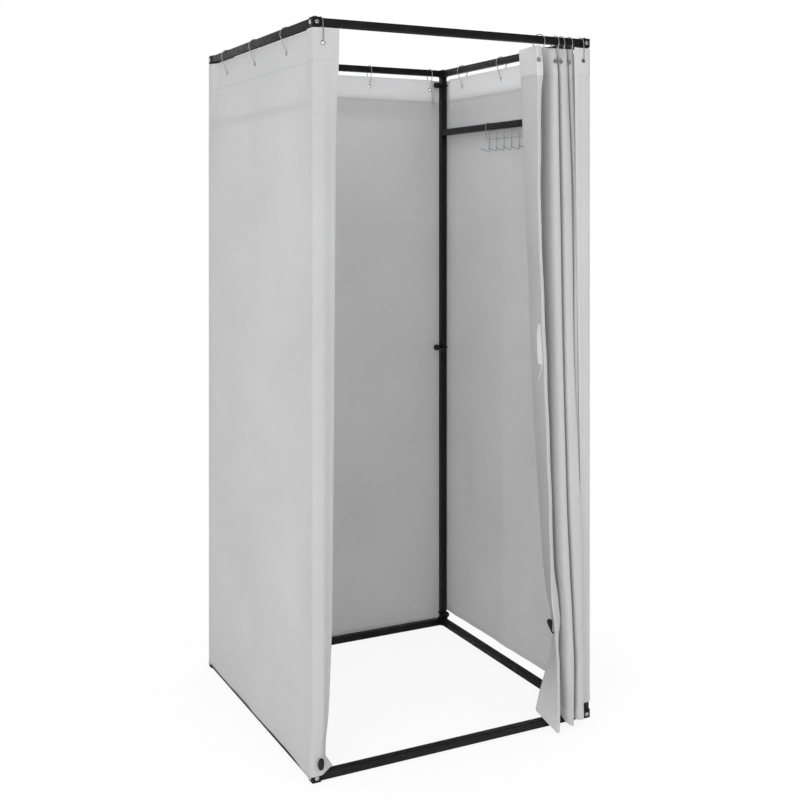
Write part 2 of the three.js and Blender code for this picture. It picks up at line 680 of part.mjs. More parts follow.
// The same places with every corner between the ends rounded.
function roundedFolds(corners) {
  const bends = corners.slice(1, -1).flatMap((corner, i) => {
    const [start, end] = [corners[i], corners[i + 2]].map((other) =>
      corner.clone().lerp(other, Math.min(FOLD_BEND / corner.distanceTo(other), FOLD_BEND_SHARE)));
    return new THREE.QuadraticBezierCurve(start, corner, end).getPoints(FOLD_STEPS);
  });
  return [corners[0], ...bends, corners[corners.length - 1]];
}

function frontCurtain() {
  const section = (height) => roundedFolds(gatheredSection(height)).map(({ x, y }) => [x, y]);
  const heights = PANEL_STATION_SHARES.map(([height]) => height);
  return curtain("front", clothSheet(section, heights), [leadTieDrill()]);
}

// Place of the leading tie's eyelet in the panel, and the heading of the room's
// side of the cloth there.
function leadTiePlace() {
  const [, corner, inner] = gatheredSection(TIE_LEAD_RISE);
  const place = corner.clone().lerp(inner, TIE_LEAD_SHARE);
  const heading = Math.atan2(inner.y - corner.y, inner.x - corner.x) + QUARTER;
  return { place, heading };
}

function leadTieDrill() {
  const { place, heading } = leadTiePlace();
  const drill = alongX(prism(polygon(EYELET, EYELET_SIDES), CLOTH + 2 * CUT_OVERRUN));
  return solid(drill.rotateZ(heading).translate(place.x, place.y, TIE_LEAD_RISE));
}

// Hook rack, drawn in the plane across the crossbar: -Y is the room's side.
function hookRack() {
  const out = HALF_TUBE + FIT_GAP + RACK_WIRE / 2;
  const corner = HALF_TUBE - TUBE_RADIUS;
  const bend = TUBE_RADIUS + FIT_GAP + RACK_WIRE / 2;
  const hanger = new Route([
    line([out, -RACK_OUTER_LEG], [out, corner]),
    arc([corner, corner], bend, 0, QUARTER, 3),
    line([corner, out], [-corner, out]),
    arc([-corner, corner], bend, QUARTER, 2 * QUARTER, 3),
    line([-out, corner], [-out, -RACK_LOWER_WIRE]),
  ]);
  const turn = QUARTER + HOOK_RISE * DEGREE;
  const bendAt = [-out - HOOK_BEND, -HOOK_DROP + HOOK_BEND];
  const bent = [bendAt[0] + HOOK_BEND * Math.cos(turn), bendAt[1] - HOOK_BEND * Math.sin(turn)];
  const tip = [
    bent[0] - HOOK_REACH * Math.cos(HOOK_RISE * DEGREE),
    bent[1] + HOOK_REACH * Math.sin(HOOK_RISE * DEGREE),
  ];
  const hook = new Route([
    line([-out, -RACK_UPPER_WIRE], [-out, bendAt[1]]),
    arc(bendAt, HOOK_BEND, 0, -turn, 4),
    line(bent, tip),
  ]);
  const span = (RACK_HOOKS - 1) * RACK_PITCH;
  const reach = span / 2 + RACK_OVERHANG;
  const hangers = [-reach, reach].map((x) => wire(hanger, RACK_WIRE).translate(x, 0, 0));
  const hooks = Array.from({ length: RACK_HOOKS }, (_, i) =>
    wire(hook, RACK_WIRE).translate(i * RACK_PITCH - span / 2, 0, 0));
  const lengthwise = [RACK_UPPER_WIRE, RACK_LOWER_WIRE].map((drop) =>
    alongX(prism(polygon(RACK_WIRE, WIRE_SIDES), 2 * reach)).translate(0, -out, -drop));
  const rack = geometryOf(joined([...hangers, ...hooks, ...lengthwise])).rotateZ(-QUARTER);
  return at(part("hook_rack", rack, wireSteel), POST_X, RACK_PLACE, CROSSBAR_HEIGHT);
}

// Ball ties

// Ball with a neck that reaches back along -Y to the place where it starts.
function ballAndNeck(reach) {
  const neck = TIE_NECK / 2;
  const ball = BALL / 2;
  const leave = Math.asin(neck / ball);
  const rim = Array.from({ length: ROUND_SIDES / 2 + 1 }, (_, i) => {
    const angle = mix(leave, 2 * QUARTER, i / (ROUND_SIDES / 2));
    return new THREE.Vector2(Math.max(ball * Math.sin(angle), 0), reach - ball * Math.cos(angle));
  });
  rim[rim.length - 1].x = 0;
  const profile = [new THREE.Vector2(0, 0), new THREE.Vector2(neck, 0), ...rim];
  return new THREE.LatheGeometry(profile, ROUND_SIDES);
}

// Elastic round a post in the XY plane, its strands meeting on the +Y side, and
// its ball at the given distance from the post's centre.
function postTie(name, reach, heading, x, y, height) {
  const corner = HALF_TUBE - TUBE_RADIUS;
  const bend = TUBE_RADIUS + FIT_GAP + ELASTIC / 2;
  const away = Math.hypot(corner, TIE_MEET - corner);
  const slope = Math.atan2(TIE_MEET - corner, corner) - Math.asin(bend / away);
  const side = corner + bend;
  const leave = QUARTER - slope;
  const near = [corner + bend * Math.cos(leave), corner + bend * Math.sin(leave)];
  const loop = new Route([
    line([0, TIE_MEET], near),
    arc([corner, corner], bend, leave, 0, 2),
    line([side, corner], [side, -corner]),
    arc([corner, -corner], bend, 0, -QUARTER, 3),
    line([corner, -side], [-corner, -side]),
    arc([-corner, -corner], bend, -QUARTER, -2 * QUARTER, 3),
    line([-side, -corner], [-side, corner]),
    arc([-corner, corner], bend, 2 * QUARTER, 2 * QUARTER - leave, 2),
    line([-near[0], near[1]], [0, TIE_MEET]),
  ]);
  const flat = wire(loop, ELASTIC).rotateY(-QUARTER).rotateZ(-QUARTER);
  const ball = ballAndNeck(reach - TIE_MEET + ELASTIC / 2).translate(0, TIE_MEET - ELASTIC / 2, 0);
  const geometry = geometryOf(joined([flat, ball])).rotateZ(heading);
  return at(part(name, geometry, blackElastic), x, y, height);
}

// Tie of the leading hem: its cord comes through the panel and turns up.
function leadTie() {
  const { place, heading } = leadTiePlace();
  const seat = Math.sqrt(TIE_KNOT * TIE_KNOT - EYELET * EYELET) / 2;
  const start = -CLOTH / 2 - 2 * FIT_GAP - seat;
  const bendStart = CLOTH / 2 + FIT_GAP;
  const ballAt = bendStart + TIE_LEAD_BEND;
  const cord = new Route([
    line([start, 0], [bendStart, 0]),
    arc([bendStart, TIE_LEAD_BEND], TIE_LEAD_BEND, -QUARTER, 0, 4),
    line([ballAt, TIE_LEAD_BEND], [ballAt, TIE_LEAD_BEND + TIE_LEAD_CORD]),
  ]);
  const knot = new THREE.IcosahedronGeometry(TIE_KNOT / 2, 1).translate(0, start, 0);
  const ball = ballAndNeck(TIE_LEAD_CORD + BALL / 2).rotateX(QUARTER)
    .translate(0, ballAt, TIE_LEAD_BEND);
  const geometry = geometryOf(joined([wire(cord, ELASTIC), knot, ball])).rotateZ(heading - QUARTER);
  return at(part("tie_lead", geometry, blackElastic), place.x, place.y, TIE_LEAD_RISE);
}

function ties() {
  const close = TIE_MEET + BALL / 2;
  const through = CLOTH_OUT + CLOTH / 2 + FIT_GAP + BALL / 2;
  return [
    postTie("tie_rear_right_top", close, QUARTER, POST_X, POST_Y, CLOTH_TOP - TIE_TOP_DROP),
    postTie("tie_rear_right_middle", close, QUARTER, POST_X, POST_Y, POST_JOINT + TIE_MIDDLE_RISE),
    postTie("tie_rear_right_bottom", close, 2 * QUARTER, POST_X, POST_Y, TIE_BOTTOM_RISE),
    postTie("tie_front_left", through, 2 * QUARTER, -POST_X, -POST_Y, TIE_FRONT_RISE),
    leadTie(),
  ];
}

const leftRows = [LEFT_HEM, WRAP_CORNER, ...wallHeights(WRAP_CORNER_END, CLOTH_TOP + CLOTH_LIFT)];
const rightRows = wallHeights(RIGHT_HEM, CLOTH_TOP);
const cabin = new THREE.Group();
cabin.add(...cornerBlocks(), ...posts(), ...rails(), ...crossbars(), ...rings());
cabin.add(sideCurtain("left", -1, leftRows, LEFT_WRAP, wrapTurn));
cabin.add(sideCurtain("right", 1, rightRows, RIGHT_WRAP, () => 0));
cabin.add(rearCurtain(), frontCurtain(), hookRack(), ...ties());

// The origin is under the middle of the whole outline, on the floor.
const middle = new THREE.Box3().setFromObject(cabin, true).getCenter(new THREE.Vector3());
cabin.position.set(-middle.x, -middle.y, 0);
const fittingRoom = new THREE.Group();
fittingRoom.add(cabin);

export default fittingRoom;
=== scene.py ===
# %% [markdown]
# # A portable fitting room
# A fitting room that packs flat: square steel tubes joined by bolted corner
# blocks, four grey curtains on wire rings, ball ties and a rack of hooks. The
# solids of its frame come from the CAD and stay where they are. This lesson gives
# each of them its finish, or puts a finer surface of the same shape in its place.

# %% Load the fixed frame
import math
from collections import namedtuple

import bmesh
import bpy
import numpy as np
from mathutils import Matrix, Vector


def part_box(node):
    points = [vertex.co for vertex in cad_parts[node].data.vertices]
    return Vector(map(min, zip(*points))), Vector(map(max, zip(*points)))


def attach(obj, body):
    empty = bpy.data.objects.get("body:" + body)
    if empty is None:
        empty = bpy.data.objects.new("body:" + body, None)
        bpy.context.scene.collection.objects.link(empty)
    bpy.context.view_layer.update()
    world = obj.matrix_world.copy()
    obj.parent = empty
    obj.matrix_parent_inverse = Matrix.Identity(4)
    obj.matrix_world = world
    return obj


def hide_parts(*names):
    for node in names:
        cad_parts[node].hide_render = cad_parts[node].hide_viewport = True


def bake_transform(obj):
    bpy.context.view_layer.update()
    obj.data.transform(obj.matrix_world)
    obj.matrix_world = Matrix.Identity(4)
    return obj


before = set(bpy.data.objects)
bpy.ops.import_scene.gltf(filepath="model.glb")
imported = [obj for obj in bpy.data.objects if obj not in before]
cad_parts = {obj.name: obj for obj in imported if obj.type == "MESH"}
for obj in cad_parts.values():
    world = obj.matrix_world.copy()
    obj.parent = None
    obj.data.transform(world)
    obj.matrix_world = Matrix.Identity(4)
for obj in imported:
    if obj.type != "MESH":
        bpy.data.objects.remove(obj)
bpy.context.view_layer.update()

# %% [markdown]
# ## Measures
# Everything hangs on the four posts, so the script asks the CAD where they
# stand. All other places count from the middle of the four posts, on the floor:
# x to the right, y away from the doorway and z up, in metres. `new_piece` adds
# the middle's own place at the end.

# %% Where the frame stands
def middle_of(node):
    """Middle of a CAD node's box: half the sum of its two corners."""
    low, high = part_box(node)
    return (np.array(low) + np.array(high)) / 2


MIDDLE = np.array([0, (middle_of("rail_top_front")[1] + middle_of("rail_top_rear")[1]) / 2, 0])
POST = middle_of("post_lower_front_right")[0]  # from the middle to each post, in x and in y
RAIL_TOP = middle_of("rail_top_front")[2]
RAIL_LOW = middle_of("rail_bottom_front")[2]
CROSSBAR = middle_of("crossbar_left")[2]
POST_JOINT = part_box("post_lower_front_right")[1][2]
TUBE, TUBE_WALL, TUBE_ROUND = 0.022, 0.001, 0.003  # side, wall, radius of the edges
BLOCK, BLOCK_ROUND = 0.026, 0.0022
print("posts at", POST, "rails at", RAIL_TOP, RAIL_LOW, "middle", MIDDLE)

# %% [markdown]
# ## Surfaces from arrays
# Every new shape is a grid of points, worked out as whole arrays. A shape is a
# pair: its points, and the four corner numbers of each face.

# %% Grids and pieces
def cells(rows, columns, down=False, round_=False):
    """Corner numbers of a grid's cells: (i, j), (i, j+1), (i+1, j+1), (i+1, j).
    With down or round_ the last row or column joins the first."""
    i = np.arange(rows if down else rows - 1)[:, None]
    j = np.arange(columns if round_ else columns - 1)[None, :]
    below, beside = (i + 1) % rows, (j + 1) % columns
    around = [i * columns + j, i * columns + beside, below * columns + beside, below * columns + j]
    return np.stack(around, -1).reshape(-1, 4)


def together(shapes):
    """One shape of several: all the points in a row, the faces renumbered to match."""
    starts = np.cumsum([0] + [len(points) for points, _ in shapes[:-1]])
    faces = np.concatenate([quads + start for (_, quads), start in zip(shapes, starts)])
    return np.concatenate([points for points, _ in shapes]), faces


def new_piece(name, shape, finish, body="frame", stands_for=(), uv=None,
              crease=40):
    """Puts a shape into a mesh that rides on a CAD body. Points that coincide are
    merged, which closes seams and poles, and edges sharper than crease stay sharp."""
    points, quads = shape
    mesh = bpy.data.meshes.new(name)
    mesh.vertices.add(len(points))
    mesh.vertices.foreach_set("co", (points + MIDDLE).astype(np.float32).ravel())
    mesh.loops.add(quads.size)
    mesh.loops.foreach_set("vertex_index", quads.astype(np.int32).ravel())
    mesh.polygons.add(len(quads))
    mesh.polygons.foreach_set("loop_start", np.arange(0, quads.size, 4, dtype=np.int32))
    if uv is not None:
        layer = mesh.uv_layers.new(name="cloth")
        layer.data.foreach_set("uv", uv[quads.ravel()].astype(np.float32).ravel())
    mesh.update(calc_edges=True)
    form = bmesh.new()
    form.from_mesh(mesh)
    bmesh.ops.remove_doubles(form, verts=form.verts, dist=1e-6)
    bmesh.ops.dissolve_degenerate(form, edges=form.edges, dist=1e-7)
    bmesh.ops.recalc_face_normals(form, faces=form.faces)
    form.to_mesh(mesh)
    form.free()
    mesh.polygons.foreach_set("use_smooth", np.ones(len(mesh.polygons), bool))
    mesh.set_sharp_from_angle(angle=math.radians(crease))
    mesh.materials.append(finish)
    thing = bpy.data.objects.new(name, mesh)
    bpy.context.scene.collection.objects.link(thing)
    if body:
        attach(thing, body)
    if stands_for:
        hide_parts(*stands_for)
    return thing


# %% Smooth steps between two values
def smooth(share):
    """3 s² − 2 s³ of a share held between 0 and 1."""
    held = np.clip(share, 0, 1)
    return held * held * (3 - 2 * held)


def mix(a, b, share):
    """a + (b − a) · share."""
    return a + (b - a) * share


def unit(vectors):
    """Vectors of length 1 in the same directions."""
    return vectors / np.linalg.norm(vectors, axis=-1, keepdims=True)


# %% [markdown]
# ## Finishes
# Each finish is a small tree of nodes. Patterns read Object coordinates, or on
# cloth its own UV map, which is laid out in metres along and up the curtain.

# %% Trees of nodes
class Tree:
    """A node tree being built."""

    def __init__(self, owner):
        owner.use_nodes = True
        self.nodes, self.links = owner.node_tree.nodes, owner.node_tree.links

    def put(self, socket, value):
        """Joins an output to the socket, or sets its value. A colour gets its alpha of 1."""
        if isinstance(value, bpy.types.NodeSocket):
            self.links.new(value, socket)
        else:
            socket.default_value = (*value, 1) if socket.type == "RGBA" else value

    def node(self, kind, output=0, inputs=(), **settings):
        """Adds a node with its settings and inputs, and gives one of its outputs."""
        made = self.nodes.new("ShaderNode" + kind)
        for name, value in settings.items():
            setattr(made, name, value)
        for socket, value in dict(inputs).items():
            self.put(made.inputs[socket], value)
        return made.outputs[output]

    def maths(self, operation, *values):
        return self.node("Math", inputs=enumerate(values), operation=operation)

    def noise(self, where, scale, detail, stretch=(1, 1, 1)):
        """Noise on the given coordinates, drawn out by stretch."""
        drawn = self.node("Mapping", inputs={"Vector": where, "Scale": stretch})
        return self.node("TexNoise", "Fac", {"Vector": drawn, "Scale": scale, "Detail": detail})

    def between(self, fac, low, high, from_low=0.3, from_high=0.7):
        """The factor carried from one range to another."""
        return self.node("MapRange", "Result", {"Value": fac, "From Min": from_low,
                                                "From Max": from_high, "To Min": low,
                                                "To Max": high})

    def blended(self, fac, first, second, **settings):
        """One colour turning into another with the factor."""
        return self.node("Mix", "Result", {"Factor": fac, "A": first, "B": second},
                         data_type="RGBA", **settings)


class Finish(Tree):
    """A Principled material. Its sockets are set by name, with _ for a space."""

    def __init__(self, name, **sockets):
        self.material = bpy.data.materials.new(name)
        super().__init__(self.material)
        self.shader = self.nodes["Principled BSDF"]
        self.set(**sockets)

    def set(self, **sockets):
        for name, value in sockets.items():
            self.put(self.shader.inputs[name.replace("_", " ")], value)

    def bump(self, height, distance, strength=1.0):
        """A bump of that height in metres."""
        self.set(Normal=self.node("Bump", "Normal", {"Height": height, "Distance": distance,
                                                     "Strength": strength}))

    def mix_in(self, share, other):
        """Another shader takes that share of the surface."""
        both = self.node("MixShader", 0, {"Fac": share, 1: self.shader.outputs[0], 2: other})
        self.put(self.nodes["Material Output"].inputs["Surface"], both)


# %% [markdown]
# The tubes and blocks are powder coated: black, matt, with a fine orange-peel
# grain. The coat is a little thinner and greyer in places.

# %% Black powder coat
def powder_coat():
    coat = Finish("black_powder_coat", Specular_IOR_Level=0.3)
    place = coat.node("TexCoord", "Object")
    worn = coat.between(coat.noise(place, 26, 4), 0, 1, 0.45, 0.75)
    coat.set(Base_Color=coat.blended(worn, (0.0042, 0.0042, 0.0045), (0.0085, 0.0085, 0.009)),
             Roughness=coat.between(coat.noise(place, 60, 3), 0.42, 0.62))
    coat.bump(coat.noise(place, 1400, 2), 0.00012)
    return coat.material


black_coat = powder_coat()

# %% [markdown]
# Bolts, rings, eyelets and the rack are bright plated steel. Plating is smooth,
# so only faint drawing lines and a soft change of gloss break it.

# %% Bright plated steel
def plated_steel(name, tint, rough):
    steel = Finish(name, Metallic=1.0)
    place = steel.node("TexCoord", "Object")
    dull = steel.noise(place, 90, 4)
    steel.set(Base_Color=steel.blended(steel.between(dull, 0, 1), tint, [c * 0.82 for c in tint]),
              Roughness=steel.between(dull, rough * 0.7, rough * 1.4))
    steel.bump(steel.noise(place, 2500, 2), 0.00003)
    return steel.material


bright_steel = plated_steel("bright_steel", (0.72, 0.72, 0.73), 0.24)
wire_steel = plated_steel("wire_steel", (0.62, 0.62, 0.63), 0.3)
eyelet_zinc = plated_steel("eyelet_zinc", (0.5, 0.5, 0.5), 0.55)

# %% [markdown]
# The balls are moulded plastic with a fine matt grain; the elastic is a round
# braid, so its finish has slanting ribs that follow the cord.

# %% Moulded ball and braided elastic
def ball_plastic():
    plastic = Finish("ball_plastic", Specular_IOR_Level=0.25)
    place = plastic.node("TexCoord", "Object")
    plastic.set(Base_Color=plastic.blended(plastic.noise(place, 120, 3), [0.006] * 3, [0.012] * 3),
                Roughness=plastic.between(plastic.noise(place, 200, 3), 0.38, 0.55))
    plastic.bump(plastic.noise(place, 1800, 2), 0.00008)
    return plastic.material


def braided_elastic():
    braid = Finish("braided_elastic", Specular_IOR_Level=0.15, Roughness=0.8)
    place = braid.node("TexCoord", "Object")
    ribs = braid.node("TexWave", "Fac", {"Vector": place, "Scale": 420, "Distortion": 1.5},
                      wave_type="BANDS", bands_direction="DIAGONAL")
    braid.set(Base_Color=braid.blended(ribs, [0.004] * 3, [0.014] * 3))
    braid.bump(ribs, 0.0003)
    return braid.material


ball_finish, elastic_finish = ball_plastic(), braided_elastic()

# %% [markdown]
# The curtains are a plain-woven grey polyester. Threads run along and up, a
# little uneven, and the cloth lets some light through. Where it is folded
# double, in the header, it lets less through. On the room's side the header
# band's tone is painted light and shade: lighter on the right, rear and front
# curtains and darker on the left, for the way light falls on each from its side.

# %% Woven cloth
THREAD = 0.0009  # from one thread to the next
SEE_THROUGH = 0.36
SEAM_EDGE = 0.0004  # over which the header's tone begins


def woven_cloth(name, tone, header_light_and_shade):
    cloth = Finish(name, Roughness=0.92, Specular_IOR_Level=0.12)
    place = cloth.node("UVMap", "UV", uv_map="cloth")
    # Slubs: uneven threads, long along their own direction.
    uneven = cloth.maths("ADD", cloth.noise(place, 1.0, 3, (40, 700, 1)),
                         cloth.noise(place, 1.0, 3, (700, 40, 1)))
    cloudy = cloth.maths("ADD", uneven, cloth.noise(place, 3.2, 5))
    body = cloth.blended(cloth.between(cloudy, 0, 1, 1.1, 1.9),
                         [c * 0.93 for c in tone], [min(c * 1.06, 1) for c in tone])
    # The header band is above the seam. It shows on the room's side, where u < 0, as painted light
    # and shade.
    u, v = (cloth.node("SeparateXYZ", axis, {0: place}) for axis in "XY")
    above = cloth.between(v, 0, 1, SEAM - SEAM_EDGE, SEAM + SEAM_EDGE)
    band = cloth.maths("MULTIPLY", above, cloth.between(u, 1, 0, -SEAM_EDGE, SEAM_EDGE))
    colour = cloth.blended(band, body, header_light_and_shade, blend_type="MULTIPLY")
    cloth.set(Base_Color=colour)
    # Plain weave: the product of two sets of waves, threads over and under.
    waves = [cloth.node("TexWave", "Fac", {"Vector": place, "Scale": math.pi / 10 / THREAD,
                                           "Distortion": 0.6, "Detail Scale": 2.0},
                        wave_type="BANDS", bands_direction=axis) for axis in "XY"]
    cloth.bump(cloth.maths("ADD", cloth.maths("MULTIPLY", *waves), uneven), 0.00022, 0.7)
    # Light that comes through from behind.
    cloth.mix_in(SEE_THROUGH, cloth.node("BsdfTranslucent", 0, {"Color": colour}))
    return cloth.material


def sewing_thread(name, tone):
    thread = Finish(name, Roughness=0.7, Specular_IOR_Level=0.3)
    twist = thread.noise(thread.node("TexCoord", "Object"), 3000, 2)
    thread.set(Base_Color=thread.blended(twist, [0.85 * tone] * 3, [tone] * 3))
    thread.bump(twist, 0.00008)
    return thread.material


CLOTH_TONE = (0.67, 0.67, 0.675)
thread_finish = sewing_thread("sewing_thread", 0.62)
bright_thread = sewing_thread("bright_thread", 0.95)

# %% [markdown]
# ## Camera
# The photograph was taken at chest height, level, with the picture shifted down
# so that the posts stay upright. The camera does the same.

# %% The photograph's viewpoint
CAMERA_PLACE, CAMERA_TURN = (-1.6035, -3.2378, 1.4915), -26.883  # the turn in degrees
SENSOR, FOCAL_LENGTH, SHIFT = 36, 52.2, -0.2359
lens = bpy.data.cameras.new("camera")
lens.sensor_width, lens.lens, lens.shift_y = SENSOR, FOCAL_LENGTH, SHIFT
camera = bpy.data.objects.new("camera", lens)
camera.location = np.array(CAMERA_PLACE) + MIDDLE
camera.rotation_euler = (math.radians(90), 0, math.radians(CAMERA_TURN))
bpy.context.scene.collection.objects.link(camera)
bpy.context.scene.camera = camera

# %% [markdown]
# ## Steel tubes
# A square tube is a rounded square carried along a line, with a second, smaller
# one inside. The profile's rows go down the outside and back up the inside, so
# the wall is one closed surface with a tiny bevel at each end.

# %% Square tube
TUBE_BEVEL = 0.0004


def rounded_square(side, radius, steps=5):
    """A square's corners as quarter circles: centre ± (side/2 − r) + r (cos a, sin a)."""
    turn = np.linspace(0, math.pi / 2, steps + 1)
    angle = (turn[None, :] + np.arange(4)[:, None] * math.pi / 2).ravel()
    corner = np.repeat(np.array([[1, 1], [-1, 1], [-1, -1], [1, -1]]), steps + 1, 0)
    return corner * (side / 2 - radius) + radius * np.stack([np.cos(angle), np.sin(angle)], -1)


def place_tube(name, start, end, along, at):
    """A tube in place of the CAD node of that name, from start to end along the axis with that
    number. Its rows are the outer profile at both ends, pulled in by the bevel at the rims,
    then the inner one."""
    outer, rim, inner = (rounded_square(TUBE - 2 * less, TUBE_ROUND - less)
                         for less in (0, TUBE_BEVEL, TUBE_WALL))
    rows = [(inner, start), (rim, start), (outer, start + TUBE_BEVEL), (outer, end - TUBE_BEVEL),
            (rim, end), (inner, end)]
    points = np.array([np.column_stack([profile, np.full(len(profile), place)])
                       for profile, place in rows])
    points = np.roll(points, along + 1, axis=-1) + at
    quads = cells(len(rows), points.shape[1], down=True, round_=True)
    new_piece(name + "_tube", (points.reshape(-1, 3), quads), black_coat, stands_for=[name],
              crease=50)


# %% Posts, rails and crossbars
ENDS, SIDES = (("front", -1), ("rear", 1)), (("left", -1), ("right", 1))
LEVELS = (("top", RAIL_TOP), ("bottom", RAIL_LOW))
foot, head = BLOCK, RAIL_TOP + BLOCK / 2 - BLOCK
for end, end_y in ENDS:
    for side, side_x in SIDES:
        stand = np.array([side_x * POST, end_y * POST, 0])
        place_tube(f"post_lower_{end}_{side}", foot, POST_JOINT, 2, stand)
        place_tube(f"post_upper_{end}_{side}", POST_JOINT, head, 2, stand)
rail_half, bar_half = POST - BLOCK / 2, POST - TUBE / 2
for level, height in LEVELS:
    for end, end_y in ENDS:
        place_tube(f"rail_{level}_{end}", -rail_half, rail_half, 0, (0, end_y * POST, height))
    for side, side_x in SIDES:
        place_tube(f"rail_{level}_{side}", -rail_half, rail_half, 1, (side_x * POST, 0, height))
for side, side_x in SIDES:
    place_tube(f"crossbar_{side}", -bar_half, bar_half, 1, (side_x * POST, 0, CROSSBAR))

# %% [markdown]
# ## Corner blocks and bolts
# A corner block is a cube with soft edges. Rounding a cube is one formula: pull
# each point of the cube's skin in to a smaller core, then push it out again by
# the edge radius along the line it was pulled. The bolts are turned parts, so a
# profile goes round an axis; in the socket its radius follows a hexagon.

# %% Block and bolt
def rounded_block(half, radius, steps=12):
    """Skin of a cube of that half side: q is a point of it, c = clip(q, half − r) its core, and
    the surface is c + r (q − c) / |q − c|. Steps are close together near the edges."""
    across = np.sin(np.linspace(-math.pi / 2, math.pi / 2, steps + 1)) * half
    a, b = np.meshgrid(across, across, indexing="ij")
    faces = []
    for axis in range(3):
        for sign in (-1, 1):
            q = np.roll(np.stack([a, b, np.full_like(a, sign * half)], -1), axis, axis=-1)
            core = np.clip(q, radius - half, half - radius)
            faces.append((core + radius * unit(q - core)).reshape(-1, 3))
    return together([(points, cells(steps + 1, steps + 1)) for points in faces])


def turned(profile, hexagon=(), sides=48):
    """Profile of (radius, height) pairs carried round the z axis: (r cos a, r sin a, h). On the
    rows in hexagon, r is the distance to a hexagon's side: r / cos(a's way to that side)."""
    radius, height = np.array(profile, float).T
    angle = np.arange(sides) / sides * 2 * math.pi
    radii = np.repeat(radius[:, None], sides, 1)
    way = np.mod(angle, math.pi / 3) - math.pi / 6
    for row in hexagon:
        radii[row] = radius[row] / np.cos(way)
    points = np.stack([radii * np.cos(angle), radii * np.sin(angle),
                       np.repeat(height[:, None], sides, 1)], -1)
    return points.reshape(-1, 3), cells(len(profile), sides, round_=True)


def aimed(shape, direction, place):
    """The shape with its z axis turned to the direction, and moved to the place."""
    w = unit(np.array(direction, float))
    u = unit(np.cross([0, 0, 1] if abs(w[2]) < 0.9 else [1, 0, 0], w))
    points, quads = shape
    return points @ np.array([u, np.cross(w, u), w]) + place, quads


# Radius and height from the face of the block: the head's rim, then its socket.
BOLT = [(0, 0), (0.006, 0), (0.006, 0.0013), (0.0057, 0.0021), (0.0050, 0.0027), (0.0042, 0.003),
        (0.0033, 0.003), (0.0029, 0.0027), (0.0026, 0.0024), (0.0026, 0.0009), (0.0008, 0.0006),
        (0, 0.0005)]
HEX_ROWS = (8, 9)

# %% Corners
cube = rounded_block(BLOCK / 2, BLOCK_ROUND)
bolt_shape = turned(BOLT, HEX_ROWS)
for level, height in LEVELS:
    for end, end_y in ENDS:
        for side, side_x in SIDES:
            node = f"corner_{level}_{end}_{side}"
            stand = np.array([side_x * POST, end_y * POST, height])
            ways = [(side_x, 0, 0), (0, end_y, 0)] + ([(0, 0, 1)] if level == "top" else [])
            new_piece(node + "_block", (cube[0] + stand, cube[1]), black_coat, stands_for=[node])
            bolts = [aimed(bolt_shape, way, stand + BLOCK / 2 * np.array(way)) for way in ways]
            new_piece(node + "_bolts", together(bolts), bright_steel, crease=30)
for name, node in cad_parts.items():
    if name.startswith(("post_sleeve", "crossbar_fixing")):
        node.data.materials.clear()
        node.data.materials.append(black_coat if name.startswith("post") else bright_steel)
print("blocks and bolts done")

# %% [markdown]
# ## Wire
# Rings, hooks and elastic are round wire along a line that lies in one plane. At
# each point of the line a circle stands across it; half balls close its ends.

# %% Round wire
GAP = 0.0003  # between a wire and what it hangs on


def circles(u, v, sides):
    """A circle's points in the plane of each pair of unit vectors: cos a · u + sin a · v."""
    a = np.arange(sides)[:, None] / sides * 2 * math.pi
    return np.cos(a) * u[:, None] + np.sin(a) * v[:, None]


def swept(path, radius, across, sides=12):
    """p + r (cos a · s + sin a · u): s is at right angles to the path and to its plane's normal
    `across`, and u = tangent × s. Past its ends the path goes on by r sin b with radius r cos b."""
    path = np.asarray(path, float)
    tangent = unit(np.gradient(path, axis=0))
    b = np.linspace(0, math.pi / 2, 5)[1:, None]
    before = (path[0] - tangent[0] * radius * np.sin(b))[::-1]
    after = path[-1] + tangent[-1] * radius * np.sin(b)
    ends = radius * np.cos(b[:, 0])
    radii = np.concatenate([ends[::-1], np.full(len(path), float(radius)), ends])
    path = np.concatenate([before, path, after])
    tangent = np.concatenate([np.repeat(tangent[:1], 4, 0), tangent, np.repeat(tangent[-1:], 4, 0)])
    s = unit(np.cross(tangent, across))
    points = path[:, None] + radii[:, None, None] * circles(s, np.cross(tangent, s), sides)
    return points.reshape(-1, 3), cells(len(path), sides, round_=True)


def arc(centre, radius, start, stop, steps):
    """centre + radius (cos a, sin a) from one angle to the other, in the (y, z) plane."""
    a = np.linspace(start, stop, steps + 1)
    return np.column_stack([centre[0] + radius * np.cos(a), centre[1] + radius * np.sin(a)])


def in_plane(pairs):
    """(y, z) pairs as points with x = 0."""
    return np.column_stack([np.zeros(len(pairs)), pairs])


def turned_by(points, degrees, axis="z"):
    """Points turned about the x or z axis."""
    c, s = math.cos(math.radians(degrees)), math.sin(math.radians(degrees))
    matrix = {"x": [[1, 0, 0], [0, c, -s], [0, s, c]], "z": [[c, -s, 0], [s, c, 0], [0, 0, 1]]}
    return points @ np.array(matrix[axis]).T


def moved(shape, heading, place):
    """The shape turned about the z axis, then moved to the place."""
    return turned_by(shape[0], heading) + place, shape[1]


# %% [markdown]
# ### Curtain rings
# A ring is bent like a pear: a wide arc that rides on the rail, two straight
# legs, and a narrow arc that holds the cloth's eyelet. One leg stops short of
# the narrow arc, which lets the ring be sprung open.

# %% Where the rings hang
# Radii of the wide arc, the narrow arc and the wire, the way between the arcs, and the gap.
RING, TIP, RING_WIRE, RING_LONG, MOUTH = 0.020, 0.004, 0.00125, 0.0466, 0.004
WRAP_RING, WRAP_LEAN = 0.4145, 22  # place of the rings round the corners, and their lean
